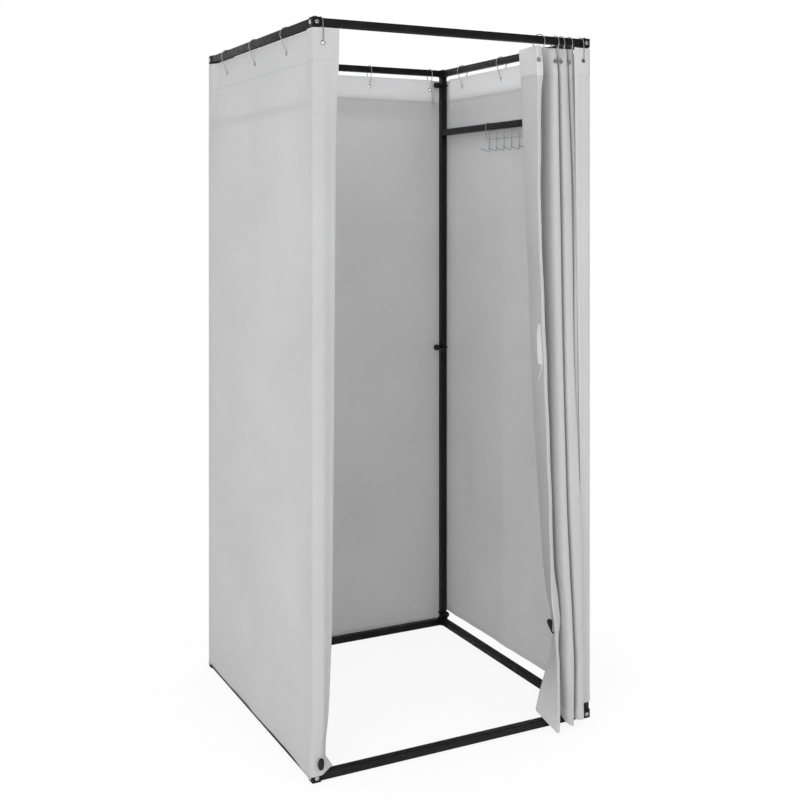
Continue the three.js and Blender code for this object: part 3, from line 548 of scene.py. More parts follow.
# Places of the rings along the side, rear and front rails.
WALL_RINGS = (0.287, 0.030, -0.227)
REAR_RINGS = (-0.345, -0.105, 0.135, 0.375)
FRONT_RINGS = (0.270, 0.327, 0.347, 0.375)
LEAD_TURN = 30  # of the leading ring about the vertical, in degrees
RING_BODY = {"front_1": "curtain_carrier", "front_2": "second_ring", "front_3": "third_ring"}
FOUR = range(1, 5)  # numbers of a curtain's rings


def ring_seat(turn):
    """Height of the wide arc's centre over the rail's: the wire touches the rail's rounded
    corners, which stand 1 / cos(turn) further apart for a turned ring."""
    stretch = 1 / math.cos(math.radians(turn))
    reach = RING - RING_WIRE - GAP - TUBE_ROUND * stretch
    corner = (TUBE / 2 - TUBE_ROUND) * stretch
    return TUBE / 2 - TUBE_ROUND - math.sqrt(reach ** 2 - corner ** 2)


ring_places = {}  # name: (x, y, heading, turn, lean)
for side, side_x in SIDES:
    for i, y in zip(FOUR, WALL_RINGS):
        ring_places[f"{side}_{i}"] = (side_x * POST, y, side_x * 90, 0, 0)
    ring_places[f"{side}_4"] = (side_x * WRAP_RING, -POST, 0, 0, WRAP_LEAN)
for i, x in zip(FOUR, REAR_RINGS):
    ring_places[f"rear_{i}"] = (x, POST, 180, 0, 0)
for i, x in zip(FOUR, FRONT_RINGS):
    ring_places[f"front_{i}"] = (x, -POST, 0, LEAD_TURN if i == 1 else 0, 0)
print(len(ring_places), "rings")

# %% Rings
def ring_line():
    """The ring's line in the (y, z) plane, round the centre of its wide arc."""
    lean = math.asin((RING - TIP) / RING_LONG)
    half, low = math.pi, (0, -RING_LONG)
    wide = arc((0, 0), RING, -lean, half + lean, 40)
    narrow = arc(low, TIP, half + lean, 2 * half - lean, 14)
    mouth = arc(low, TIP, -lean, -lean, 0)[0] + MOUTH * np.array([math.sin(lean), math.cos(lean)])
    leg = mix(mouth, wide[0], np.linspace(0, 0.98, 5)[:, None])
    other = mix(wide[-1], narrow[0], np.linspace(0.02, 0.98, 5)[:, None])
    return in_plane(np.concatenate([leg, wide, other, narrow]))


ring_shape = ring_line()
for name, (x, y, heading, turn, lean) in ring_places.items():
    place = [x, y, RAIL_TOP + ring_seat(turn)]
    line = turned_by(turned_by(ring_shape, -lean, "x"), heading + turn) + place
    across = turned_by(np.array([[1.0, 0, 0]]), heading + turn)[0]
    new_piece(f"ring_{name}_wire", swept(line, RING_WIRE, across, 10), wire_steel,
              RING_BODY.get(name, "frame"), [f"ring_{name}"])

# %% [markdown]
# ### Hook rack
# Two hangers hook over the crossbar, two wires run between them, and six hooks
# are welded to the wires.

# %% Rack
RACK_WIRE, RACK_Y = 0.0015, -0.030
RACK_WIRES = (0.017, 0.044)  # the lengthwise wires, below the crossbar's centre
HANGER_FOOT, HANGER_PAST = -0.008, 0.022  # its room-side end; how far it is from the last hook
HOOKS, HOOK_PITCH, HOOK_LOW, HOOK_BEND, HOOK_TIP = 6, 0.046, -0.084, 0.005, 0.028
HOOK_RISE = math.radians(18)


def rack():
    """Hangers, hooks and lengthwise wires, each swept along its line across the crossbar,
    then turned so that the hooks point into the room."""
    out, corner = TUBE / 2 + GAP + RACK_WIRE, TUBE / 2 - TUBE_ROUND
    bend, quarter = TUBE_ROUND + GAP + RACK_WIRE, math.pi / 2
    upper, lower = (-low for low in RACK_WIRES)
    hanger = np.concatenate([
        [[out, HANGER_FOOT], [out, 0]], arc((corner, corner), bend, 0, quarter, 6),
        arc((-corner, corner), bend, quarter, 2 * quarter, 6),
        [[-out, 0], [-out, lower / 2], [-out, lower]]])
    bent = arc((-out - HOOK_BEND, HOOK_LOW + HOOK_BEND), HOOK_BEND, 0, -(quarter + HOOK_RISE), 8)
    tip = bent[-1] + HOOK_TIP * np.array([-math.cos(HOOK_RISE), math.sin(HOOK_RISE)])
    hook = np.concatenate([[[-out, upper], [-out, lower], [-out, HOOK_LOW + 0.014]], bent,
                           mix(bent[-1], tip, np.linspace(0.2, 1, 4)[:, None])])
    half = HOOK_PITCH * (HOOKS - 1) / 2
    reach = half + HANGER_PAST
    lines = [(hanger, x) for x in (-reach, reach)]
    lines += [(hook, i * HOOK_PITCH - half) for i in range(HOOKS)]
    shapes = [swept(in_plane(line) + [x, 0, 0], RACK_WIRE, (1, 0, 0)) for line, x in lines]
    x = np.linspace(-reach, reach, 8)
    shapes += [swept(np.column_stack([x, np.full(8, -out), np.full(8, -low)]), RACK_WIRE, (0, 0, 1))
               for low in RACK_WIRES]
    return moved(together(shapes), -90, [POST, RACK_Y, CROSSBAR])


new_piece("hook_rack_wire", rack(), wire_steel, "rack", ["hook_rack"])
print("rack done")

# %% [markdown]
# ## Curtains
# A curtain is one closed skin: an outer and an inner surface a thread's
# thickness from its middle, further apart where header and hems are folded
# double, with a rim round its edges and round each eyelet's hole. Its middle is
# a function of two lengths: how far along the cloth, and how high.

# %% Cloth skin
def across_cloth(middle):
    """Unit vectors at right angles to the cloth: along × up."""
    n = np.cross(np.gradient(middle, axis=1), np.gradient(middle, axis=0))
    return n / np.maximum(np.linalg.norm(n, axis=-1, keepdims=True), 1e-12)


def cloth_skin(middle, thick, keep, uv, room=-1):
    """Closed skin of a sheet: middle ± thick / 2 · n, the cells marked in keep on both faces,
    and a rim wherever a kept cell has no kept neighbour. On the room's side, which is n's
    side where room is 1, u is counted backwards."""
    rows, columns = middle.shape[:2]
    far = rows * columns
    n = across_cloth(middle)
    points = np.concatenate([(middle + face * n * thick[..., None] / 2).reshape(-1, 3)
                             for face in (1, -1)])
    corner = cells(rows, columns).reshape(rows - 1, columns - 1, 4)
    faces, padded = corner[keep], np.pad(keep, 1)
    quads = [faces, (faces + far)[:, ::-1]]
    for side, (di, dj) in enumerate([(-1, 0), (0, 1), (1, 0), (0, -1)]):
        edge = corner[keep & ~padded[1 + di:rows + di, 1 + dj:columns + dj]]
        first, second = edge[:, side], edge[:, (side + 1) % 4]
        quads.append(np.stack([second, first, first + far, second + far], -1))
    used, quads = np.unique(np.concatenate(quads), return_inverse=True)
    flat = np.concatenate([uv.reshape(-1, 2) * (-face * room, 1) for face in (1, -1)])
    return (points[used], quads.reshape(-1, 4)), flat[used]


NEAR_HOLE = 0.0075  # half the finely divided stretch round an eyelet
STEP_EDGE = 0.0003  # half the step where the thickness changes


def stops(length, step, close, edges):
    """Places from 0 to length, a step apart: closer round each place in close, and a pair of
    places beside each edge, where the cloth's thickness changes."""
    even = np.linspace(0, length, int(round(length / step)) + 1)
    for c in close:
        even = even[np.abs(even - c) > NEAR_HOLE + 0.3 * step]
    for e in edges:
        even = even[np.abs(even - e) > 0.25 * step]
    fine = [np.linspace(c - NEAR_HOLE, c + NEAR_HOLE, 17) for c in close]
    pairs = [np.array([e - STEP_EDGE, e + STEP_EDGE]) for e in edges]
    return np.unique(np.clip(np.concatenate([even, *fine, *pairs, [0, length]]), 0, length))


CLOTH, DOUBLE = 0.0008, 0.0018  # the skin's thickness, single and folded
CLOTH_TOP, HEADER, HEM_DEEP, SIDE_HEM = RAIL_TOP - 0.025, 0.077, 0.026, 0.014
HIGHER = 0.009  # how much higher the left and front curtains reach
SEAM = CLOTH_TOP - HEADER
EYELET_IN, EYELET_HOLE, EYELET_RIM, ROLLED = 0.0045, 0.0054, 0.0068, 0.0006


def cloth_rows(hem, top, step, places):
    """Heights of a curtain's rows, closer round its eyelets."""
    return hem + stops(top - hem, step, [h - hem for h in places], (SEAM - hem, HEM_DEEP))


Curtain = namedtuple("Curtain", "piece middle along up length hem top side_hem")


def sewn(name, middle, along, up, ends, tone, header, holes, room=-1, side_hem=SIDE_HEM,
         double=DOUBLE, body="frame"):
    """A curtain of that middle. It is double above the seam, in the bottom hem and at both
    sides, and open where the middle of a cell is nearer to a hole than the hole's radius."""
    (hem, top), length = ends, along.max()
    folded = (up > SEAM) | (up < hem + HEM_DEEP) | (along < side_hem) | (along > length - SIDE_HEM)
    mid = (middle[:-1, :-1] + middle[1:, :-1] + middle[:-1, 1:] + middle[1:, 1:]) / 4
    keep = np.all([np.linalg.norm(mid - hole, axis=-1) > EYELET_HOLE for hole in holes], axis=0)
    shape, uv = cloth_skin(middle, np.where(folded, double, CLOTH), keep,
                           np.stack([along, up], -1), room)
    piece = new_piece(f"curtain_{name}_cloth", shape, woven_cloth(f"cloth_{name}", tone, header),
                      body, [f"curtain_{name}"], uv, crease=60)
    return Curtain(piece, middle, along, up, length, hem, top, side_hem)


# %% [markdown]
# ### Eyelets
# Each hole is lined with a two-part metal eyelet, rolled over on both faces.

# %% Eyelet
def eyelet_shape():
    """Closed ring profile round the hole: its inner edge, then the flange on each face."""
    inner, outer, half = EYELET_IN, EYELET_RIM, DOUBLE / 2 + ROLLED
    upper = [(inner, half * 0.6), (inner + 0.0005, half), (outer - 0.0007, half),
             (outer, half - ROLLED), (outer, 0.6 * half - ROLLED)]
    profile = upper + [(radius, -height) for radius, height in upper[::-1]]
    points, _ = turned(profile, sides=28)
    return points, cells(len(profile), 28, down=True, round_=True)


def eyelet_middle(name):
    """Centre of the eyelet in which a ring hangs: the wire rests against its upper edge."""
    x, y, heading, turn, lean = ring_places[name]
    lean = math.radians(lean)
    tip = ring_seat(turn) - RING_LONG * math.cos(lean) - TIP + RING_WIRE
    drop = turned_by(np.array([[0, -RING_LONG * math.sin(lean), 0]]), heading + turn)[0]
    return np.array([x, y, RAIL_TOP + tip + 2 * GAP - EYELET_IN]) + drop


def eyelet_middles(side):
    return [eyelet_middle(f"{side}_{i}") for i in FOUR]


def place_eyelet(name, place, facing, body="frame"):
    new_piece(f"eyelet_{name}", aimed(eyelet_shape(), facing, place), eyelet_zinc, body,
              crease=35)


FACING = {"left": (-1, 0, 0), "right": (1, 0, 0), "rear": (0, 1, 0), "front": (0, -1, 0)}
for name in ring_places:
    side = "front" if name in ("left_4", "right_4") else name.split("_")[0]
    place_eyelet(name, eyelet_middle(name), FACING[side], RING_BODY.get(name, "frame"))

# %% [markdown]
# ### Side and rear curtains
# At its rings a curtain hangs under the rail, and lower down it lies outside
# crossbar, posts and bottom rail. The side curtains go round the front post.
# Slow waves keep the cloth from looking like a board.

# %% Wall curtains
OUT = 0.0175  # how far cloth lies outside its rail
BEND_R, PAST_POST = 0.009, 0.009  # its bend at the front post, its way past the rear one
LOWERED_FROM, LOWERED_AT = SEAM + 0.010, CLOTH_TOP - 0.150  # where the cloth moves out
POST_NEAR, POST_CLEAR = 0.020, 0.032  # a post's stretch of cloth, and the slope beside it
WALL_STEP, WALL_RISE = 0.0085, 0.015  # of a wall curtain's grid
WAVES = (0.46, 0.29, 0.17, 0.105)  # lengths of the slow waves


def wall_offset(from_post, height):
    """How far cloth lies outside its rail: OUT · max(how far below the rings, how near a post)."""
    lowered = smooth((LOWERED_FROM - height) / (LOWERED_FROM - LOWERED_AT))
    beside = 1 - smooth((from_post - POST_NEAR) / POST_CLEAR)
    return OUT * np.maximum(lowered, beside)


def ripples(along, height, seed, size=0.0011):
    """Slow waves: a sum of sines of different lengths, each bent a little with the height,
    and held small at the header."""
    draw = np.random.default_rng(seed)
    wave = np.zeros(np.broadcast(along, height).shape)
    for length in WAVES:
        a, b, c = draw.uniform(0, 2 * math.pi, 3)
        bent = 0.35 * np.sin(height * 2.1 + b)
        swing = size * (length / 0.3) ** 0.7 * (0.6 + 0.4 * np.sin(height * 1.7 + c))
        wave += swing * np.sin(2 * math.pi * along / length + a + bent)
    return wave * (0.25 + 0.75 * smooth((SEAM - height) / 0.25))


# Lengths of a side curtain: along its rail, and round its quarter circle at the front post.
STRAIGHT, QUARTER = 2 * POST + PAST_POST + OUT - BEND_R, BEND_R * math.pi / 2


def side_middle(along, height, side_x, out, wrap_scale, turn, ripple):
    """Middle of a side curtain: along its rail from behind the rear post, round the front
    post on a quarter circle, then across the doorway's side, turned in by `turn`. `out` is
    how far it lies outside its rail, and wrap_scale how far its end is drawn across."""
    y = POST + PAST_POST - np.minimum(along, STRAIGHT)
    clear = out(-y, height)
    x = POST + wall_offset(POST - np.abs(y), height) * clear / OUT
    angle = np.clip((along - STRAIGHT) / BEND_R, 0, math.pi / 2)
    bent = along > STRAIGHT
    x = np.where(bent, POST + clear - BEND_R + BEND_R * np.cos(angle), x)
    y = np.where(bent, BEND_R - POST - OUT - BEND_R * np.sin(angle), y)
    reach = np.clip(along - STRAIGHT - QUARTER, 0, None)
    heading = turn(height) * smooth((reach - 0.011) / 0.022)
    step = np.diff(reach, axis=1, prepend=0) * wrap_scale(height)
    x = x - np.cumsum(step * np.cos(heading), axis=1)
    y = y + np.cumsum(step * np.sin(heading), axis=1)
    x = x + ripple * (1 - smooth((along - STRAIGHT + 0.08) / 0.08))
    return np.stack([side_x * x, y, height + 0 * x], -1)


def left_out(forward, height):
    """The left curtain lies close to its rail, and clear of the tie's elastic at the front post."""
    low = 1 - smooth((height - 0.065) / 0.1)
    return 0.0125 + 0.005 * smooth((forward - 0.3) / 0.1) * low


def right_out(forward, height):
    """The right curtain clears the hook rack and comes close to the front post."""
    return OUT - 0.005 * smooth((forward - 0.36) / 0.06) + 0 * height


# Height, and how far the left wrap turns in past its post, in degrees.
LEFT_WRAP_TURN = np.array([[0.0, 24], [0.028, 30], [0.037, 44], [0.048, 57], [0.10, 57], [0.2, 50],
                           [0.4, 39], [1.0, 31], [1.7, 23], [1.8, 17], [1.885, 6], [2.0, 0]])
# Height, and how far the right wrap is drawn across.
RIGHT_WRAP_SCALE = np.array([[0.0, 0.80], [0.64, 0.82], [1.29, 1.10], [1.7, 1.29], [1.96, 1.40]])


def read_off(table):
    """The table's second column as a function of the first."""
    return lambda height: np.interp(height, *table.T)


LEFT_HEM, RIGHT_HEM, REAR_HEM = 0.020, 0.050, 0.015
LEFT_WRAP, RIGHT_WRAP = 0.066, 0.036


def left_lift(up, reach):
    """The corner's lower edge rises over the bottom rail."""
    lift = 0.008 * smooth((reach - 0.012) / 0.05) - 0.005 * (1 - smooth((reach + 0.03) / 0.03))
    return lift * (1 - smooth((up - LEFT_HEM) / 0.06))


def right_lift(up, reach):
    """The ring at its end lifts the header there."""
    return 0.008 * smooth((reach + 0.09) / 0.1) * smooth((up - SEAM + 0.2) / 0.24)


def wall_grid(length, ends, places, heights):
    """How far along and how high the points lie, closer round the eyelets."""
    columns = stops(length, WALL_STEP, places, (SIDE_HEM, length - SIDE_HEM))
    return np.meshgrid(columns, cloth_rows(*ends, WALL_RISE, heights))


def side_curtain(side, side_x, ends, wrap, shape, tone, header, seed, extra=()):
    """A side curtain from hem to top. `wrap` is its length past the front post's bend, `shape`
    how far out it lies, how its wrap is drawn across and turned, and how it is lifted, and
    extra an eyelet more: how far along, how high, and its place."""
    out, wrap_scale, turn, lift = shape
    length = STRAIGHT + QUARTER + wrap
    wrap_ring = (POST + out(1, 2.0) - BEND_R - WRAP_RING) / wrap_scale(2.0)
    ring_along = [POST + PAST_POST - y for y in WALL_RINGS] + [length - wrap + wrap_ring]
    holes = eyelet_middles(side)
    along, up = wall_grid(length, ends, ring_along + [a for a, _, _ in extra],
                          [holes[0][2], holes[3][2]] + [h for _, h, _ in extra])
    height = up + lift(up, along - (length - wrap))
    middle = side_middle(along, height, side_x, out, wrap_scale, turn, ripples(along, up, seed))
    return sewn(side, middle, along, up, ends, tone, header,
                holes + [place for _, _, place in extra], side_x)


TIE_HEIGHT, TIE_IN = 0.050, 0.0055  # of the left curtain's tie, and its way in from the post
left_tie_place = np.array([-POST + TIE_IN, -POST - OUT, TIE_HEIGHT])
tie_along = STRAIGHT + QUARTER + OUT - BEND_R + TIE_IN
left_turn, right_scale = read_off(LEFT_WRAP_TURN), read_off(RIGHT_WRAP_SCALE)
# The left curtain's header tone of 0.96 is painted shade.
left = side_curtain("left", -1, (LEFT_HEM, CLOTH_TOP + HIGHER), LEFT_WRAP,
                    (left_out, lambda height: 1.0, lambda height: np.radians(left_turn(height)),
                     left_lift), CLOTH_TONE, [0.96] * 3, 3,
                    [(tie_along, TIE_HEIGHT, left_tie_place)])
place_eyelet("left_tie", left_tie_place, FACING["front"])
# The right curtain's tone, lighter than CLOTH_TONE on the other curtains of the same cloth, is
# painted light on its shaded inside; its header tone of 1.16 is painted light too.
right = side_curtain("right", 1, (RIGHT_HEM, CLOTH_TOP), RIGHT_WRAP,
                     (right_out, right_scale, lambda height: 0.0, right_lift),
                     (0.72, 0.72, 0.725), [1.16] * 3, 5)
print("side curtains", left.length, right.length, "long")

# %% Rear curtain
def rear_curtain():
    """Middle of the rear curtain: straight from post to post, moved out by wall_offset."""
    half, ends = POST + PAST_POST, (REAR_HEM, CLOTH_TOP)
    holes = eyelet_middles("rear")
    along, up = wall_grid(2 * half, ends, [half - x for x in REAR_RINGS], [holes[0][2]])
    x = half - along
    y = POST + wall_offset(POST - np.abs(x), up) + ripples(along, up, 11)
    # The rear curtain's header tone of 1.2 is painted light.
    return sewn("rear", np.stack([x, y, up], -1), along, up, ends, CLOTH_TONE, [1.2] * 3, holes)


rear = rear_curtain()
print("rear curtain", rear.length, "long")

# %% [markdown]
# ### Front curtain
# The front curtain is pushed to the right. From its leading hem, which faces
# the doorway, a panel turns into the room and comes back to three deep folds,
# each hung from a ring. Near the floor the leading hem is tied back: above the
# tie the cloth is drawn together, and below it the corner flares forward.

# %% Section of the gathered curtain
FRONT_HEM = 0.032
FRONT_TOP = CLOTH_TOP + HIGHER
# Height, x and y of the leading edge, x and y of the panel's inner edge, and the width of the
# strip that turns back at the leading edge. The tie draws the edges together at a quarter of
# a metre, and below it the corner flares.
PANEL_LINE = np.array([
    [0.032, 0.2790, -0.511, 0.2605, -0.420, 0.0080],
    [0.082, 0.2905, -0.497, 0.2820, -0.408, 0.0080],
    [0.142, 0.3015, -0.480, 0.3100, -0.397, 0.0090],
    [0.196, 0.3095, -0.464, 0.3290, -0.399, 0.0100],
    [0.253, 0.3130, -0.452, 0.3345, -0.403, 0.0110],
    [0.310, 0.3085, -0.450, 0.3350, -0.394, 0.0240],
    [0.365, 0.3020, -0.449, 0.3355, -0.371, 0.0250],
    [0.425, 0.2995, -0.448, 0.3310, -0.364, 0.0170],
    [0.470, 0.2985, -0.448, 0.3265, -0.363, 0.0120],
    [0.650, 0.2945, -0.4455, 0.3145, -0.360, 0.0115],
    [0.935, 0.2855, -0.441, 0.2955, -0.356, 0.0110],
    [1.080, 0.2805, -0.439, 0.2895, -0.353, 0.0105],
    [1.300, 0.2730, -0.435, 0.2835, -0.348, 0.0100],
    [1.524, 0.2660, -0.433, 0.2723, -0.345, 0.0095],
    [1.840, 0.2670, -0.430, 0.2615, -0.342, 0.0130],
    [1.889, 0.2672, -0.429, 0.2597, -0.341, 0.0195],
    [1.956, 0.2625, -0.429, 0.2552, -0.341, 0.0200],
    [1.971, 0.2615, -0.429, 0.2545, -0.341, 0.0200]])
# Height, x where the first fold's front begins, and x where the three folds' fronts end.
FOLD_LINE = np.array([
    [0.032, 0.3370, 0.3610, 0.3919, 0.4039],
    [0.081, 0.3370, 0.3625, 0.3919, 0.4039],
    [0.196, 0.3370, 0.3640, 0.3919, 0.4039],
    [0.254, 0.3365, 0.3608, 0.3919, 0.4039],
    [0.310, 0.3350, 0.3585, 0.3919, 0.4035],
    [0.369, 0.3320, 0.3561, 0.3919, 0.4030],
    [0.425, 0.3270, 0.3535, 0.3910, 0.4025],
    [0.485, 0.3240, 0.3511, 0.3905, 0.4020],
    [0.657, 0.3220, 0.3451, 0.3885, 0.4005],
    [1.089, 0.3200, 0.3424, 0.3776, 0.3962],
    [1.524, 0.3180, 0.3451, 0.3822, 0.3975],
    [1.889, 0.3200, 0.3397, 0.3715, 0.3928],
    [1.956, 0.3130, 0.3329, 0.3681, 0.3894]])
# At each corner of the section: how far the hem hangs lower there, and the top edge sags.
HEM_DROP = (0.018, 0.019, -0.020, -0.014, 0.018, 0.029, 0.004, 0.0, 0.012, 0.013, 0.0, 0.0,
            0.004, 0.004, 0.0)
TOP_SAG = (0.001, 0.000, 0.006, 0.006, 0.005, 0.008, -0.008, -0.008, 0.006, 0.006, -0.008,
           -0.008, 0.005, 0.004, 0.0)
# Each inner corner's rounding; the first fold rolls gently out of its valley.
ROUNDING = 0.012
ROLLS = np.array([0.5, 1, 1, 1.6, 2.7, 1, 1, 1, 1, 1, 1, 1, 1])[:, None] * ROUNDING
SEEN_SHORT = 0.386 * ROUNDING  # by which a rounded corner seems to end sooner than its point


def through(heights, table):
    """A smooth line through a table's rows: on each stretch the cubic
    (2t³−3t²+1) a + (t³−2t²+t) w a' + (3t²−2t³) b + (t³−t²) w b'. The slope at a row is the
    harmonic mean of the slopes on both sides, and 0 at a turn, so it never overshoots."""
    level, values = table[:, 0], table[:, 1:]
    rise = np.diff(values, axis=0) / np.diff(level)[:, None]
    both = rise[1:] * rise[:-1]
    middle = np.where(both > 0, 2 * both / np.where(both > 0, rise[1:] + rise[:-1], 1), 0)
    slope = np.concatenate([rise[:1], middle, rise[-1:]])
    k = np.clip(np.searchsorted(level, heights) - 1, 0, len(level) - 2)
    wide = (level[k + 1] - level[k])[:, None]
    t = np.clip((heights - level[k])[:, None] / wide, 0, 1)
    return ((2 * t ** 3 - 3 * t ** 2 + 1) * values[k] + (t ** 3 - 2 * t ** 2 + t) * wide * slope[k]
            + (3 * t ** 2 - 2 * t ** 3) * values[k + 1] + (t ** 3 - t ** 2) * wide * slope[k + 1])


FOLD_OUT, FOLD_IN = 0.050, 0.078  # how far the folds' crests and valleys lie from the rail
SECOND_GAP, THIRD_GAP = 0.005, 0.0042  # between a fold's end and the next one's start
THIRD_OUT = 0.0145  # so far out, the third fold stays behind the side curtain's end
THIRD_BACK = 0.052  # how far its end goes back into the room


def fold_corners(height):
    """Corners of the section at each height: x, y, and how much lower the cloth hangs there."""
    down = (FRONT_TOP - height) / (FRONT_TOP - FRONT_HEM)
    lead_x, lead_y, panel_x, panel_y, strip = through(height, PANEL_LINE).T
    lead_x = lead_x + 0.0008 * np.sin(height * 31) * smooth((SEAM - height) / 0.1)
    folds = through(height, FOLD_LINE).T
    first = np.maximum(folds[0], lead_x + strip + 0.003)
    first_end, second_end, third_end = folds[1:] + SEEN_SHORT
    second, third = first_end + SECOND_GAP, second_end + THIRD_GAP
    crest_y, inner_y = -POST - FOLD_OUT * smooth(down), -POST + FOLD_IN + 0 * down
    third_y = np.maximum(crest_y, -POST - THIRD_OUT)
    valley = np.maximum(panel_x + 0.006, first - 0.004)
    corners = [(lead_x + strip, lead_y + 0.003), (lead_x, lead_y), (panel_x, panel_y),
               (valley, panel_y), (first, crest_y), (first_end, crest_y), (first_end, inner_y),
               (second, inner_y), (second, crest_y), (second_end, crest_y), (second_end, inner_y),
               (third, inner_y), (third, third_y), (third_end, third_y),
               (third_end, third_y + THIRD_BACK)]
    low = 1 - smooth((height - FRONT_HEM) / 0.16)
    high = smooth((height - SEAM) / (FRONT_TOP - SEAM))
    lower = np.outer(low, HEM_DROP) + np.outer(high, TOP_SAG)
    plan = np.stack([np.stack(pair, -1) for pair in corners], 1)
    return np.concatenate([plan, lower[..., None]], -1)


def folded_section(corners, part=0.45, arc_steps=8, line_steps=6):
    """The corners joined by straight stretches, each inner corner rounded by a quadratic Bézier
    curve: (1−t)² a + 2 t (1−t) c + t² b, where a and b lie min(its roll, part · length) away."""
    before, here, after = corners[:, :-2], corners[:, 1:-1], corners[:, 2:]

    def toward(other):
        length = np.linalg.norm(other - here, axis=-1, keepdims=True)
        return here + (other - here) * np.minimum(ROLLS / length, part)

    a, b = toward(before), toward(after)
    t = np.linspace(0, 1, arc_steps + 1)[None, None, :, None]
    curve = ((1 - t) ** 2 * a[:, :, None] + 2 * t * (1 - t) * here[:, :, None]
             + t ** 2 * b[:, :, None])
    starts, ends = np.concatenate([corners[:, :1], b], 1), np.concatenate([a, corners[:, -1:]], 1)
    s = np.linspace(0, 1, line_steps + 1)[None, None, :, None]
    lines = mix(starts[:, :, None], ends[:, :, None], s)
    rows = [lines[:, 0]]
    for k in range(curve.shape[1]):
        rows += [curve[:, k, 1:], lines[:, k + 1, 1:]]
    return np.concatenate(rows, 1)


# %% Front curtain
LEAD_TIE_HEIGHT, LEAD_TIE_SHARE = 0.265, 0.44  # its tie, and where that is across the panel
STRIP_HEM = 0.0105


def follow_carrier(piece):
    """Puts the piece's placement into its mesh. The cloth rides on no body, so it does not follow
    the rings.
    """
    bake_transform(piece)


def front_curtain():
    """The curtain, and the place and the facing of its tie's eyelet."""
    holes = eyelet_middles("front")
    rows = cloth_rows(FRONT_HEM, FRONT_TOP, 0.012, [holes[0][2], holes[1][2], LEAD_TIE_HEIGHT])
    section = folded_section(fold_corners(rows))
    widths = np.linalg.norm(np.diff(section[..., :2], axis=1), axis=-1)
    along, up = np.meshgrid(np.concatenate([[0], np.cumsum(widths[len(rows) // 2])]), rows)
    n = across_cloth(np.stack([section[..., 0], section[..., 1], up], -1))
    pinch = 0.0016 * np.exp(-((up - 0.235) / 0.04) ** 2) * (1 - smooth((along - 0.09) / 0.04))
    wave = ripples(along * 1.7, up, 17, 0.0007) + pinch * np.sin(along * 560 + 3 * np.sin(up * 30))
    middle = (np.stack([section[..., 0], section[..., 1], up - section[..., 2]], -1)
              + n * wave[..., None])
    corners = fold_corners(np.array([LEAD_TIE_HEIGHT]))[0, :, :2]
    tie_place = np.array([*mix(corners[1], corners[2], LEAD_TIE_SHARE), LEAD_TIE_HEIGHT])
    # The front curtain's header tone of 1.16 is painted light.
    made = sewn("front", middle, along, up, (FRONT_HEM, FRONT_TOP), CLOTH_TONE, [1.16] * 3,
                holes + [tie_place], side_hem=STRIP_HEM, double=DOUBLE * 0.9, body=None)
    follow_carrier(made.piece)
    way = corners[2] - corners[1]
    return made, tie_place, unit(np.array([-way[1], way[0], 0]))


front, lead_tie_place, lead_tie_facing = front_curtain()
place_eyelet("lead_tie", lead_tie_place, lead_tie_facing, "curtain_carrier")
print("front curtain", front.length, "long; tie eyelet", lead_tie_place, lead_tie_facing)

# %% [markdown]
# ### Seams and label
# Every header, hem and side is sewn down with a row of stitches. A stitch is a
# small spindle of thread that lies on the cloth, and one piece holds all the
# stitches of a curtain. The front curtain's panel has a blank care label in its
# hem, and an end of thread hangs from it.

# %% Stitches
STITCH, STITCH_STEP, STITCH_THICK = 0.0036, 0.0055, 0.00032
FROM_EDGE, FROM_HEM, FROM_SIDE = 0.004, 0.002, 0.0015  # a row's ends, and its way inside a hem


def on_cloth(cloth, along, up, lift):
    """Places on a curtain, moved off its middle by lift · n: the four points of its grid round
    each place, weighted by how near they are."""
    raised = cloth.middle + lift * across_cloth(cloth.middle)
    columns, rows = cloth.along[0], cloth.up[:, 0]
    j = np.clip(np.searchsorted(columns, along) - 1, 0, len(columns) - 2)
    i = np.clip(np.searchsorted(rows, up) - 1, 0, len(rows) - 2)
    s = np.clip((along - columns[j]) / (columns[j + 1] - columns[j]), 0, 1)[..., None]
    t = np.clip((up - rows[i]) / (rows[i + 1] - rows[i]), 0, 1)[..., None]
    below, above = (mix(raised[k, j], raised[k, j + 1], s) for k in (i, i + 1))
    return mix(below, above, t)


def seam_lines(cloth):
    """Starts and directions of the stitches, as (along, up): under the header, above the hem
    and beside both edges."""
    across = np.arange(FROM_EDGE, cloth.length - FROM_EDGE, STITCH_STEP)
    upward = np.arange(cloth.hem + FROM_EDGE, cloth.top - FROM_EDGE, STITCH_STEP)
    starts = [np.column_stack([across, np.full(len(across), height)])
              for height in (SEAM + FROM_HEM, cloth.hem + HEM_DEEP - FROM_HEM)]
    starts += [np.column_stack([np.full(len(upward), along), upward])
               for along in (cloth.side_hem - FROM_SIDE, cloth.length - SIDE_HEM + FROM_SIDE)]
    ways = [(1.0, 0.0)] * 2 * len(across) + [(0.0, 1.0)] * 2 * len(upward)
    return np.concatenate(starts), np.array(ways)


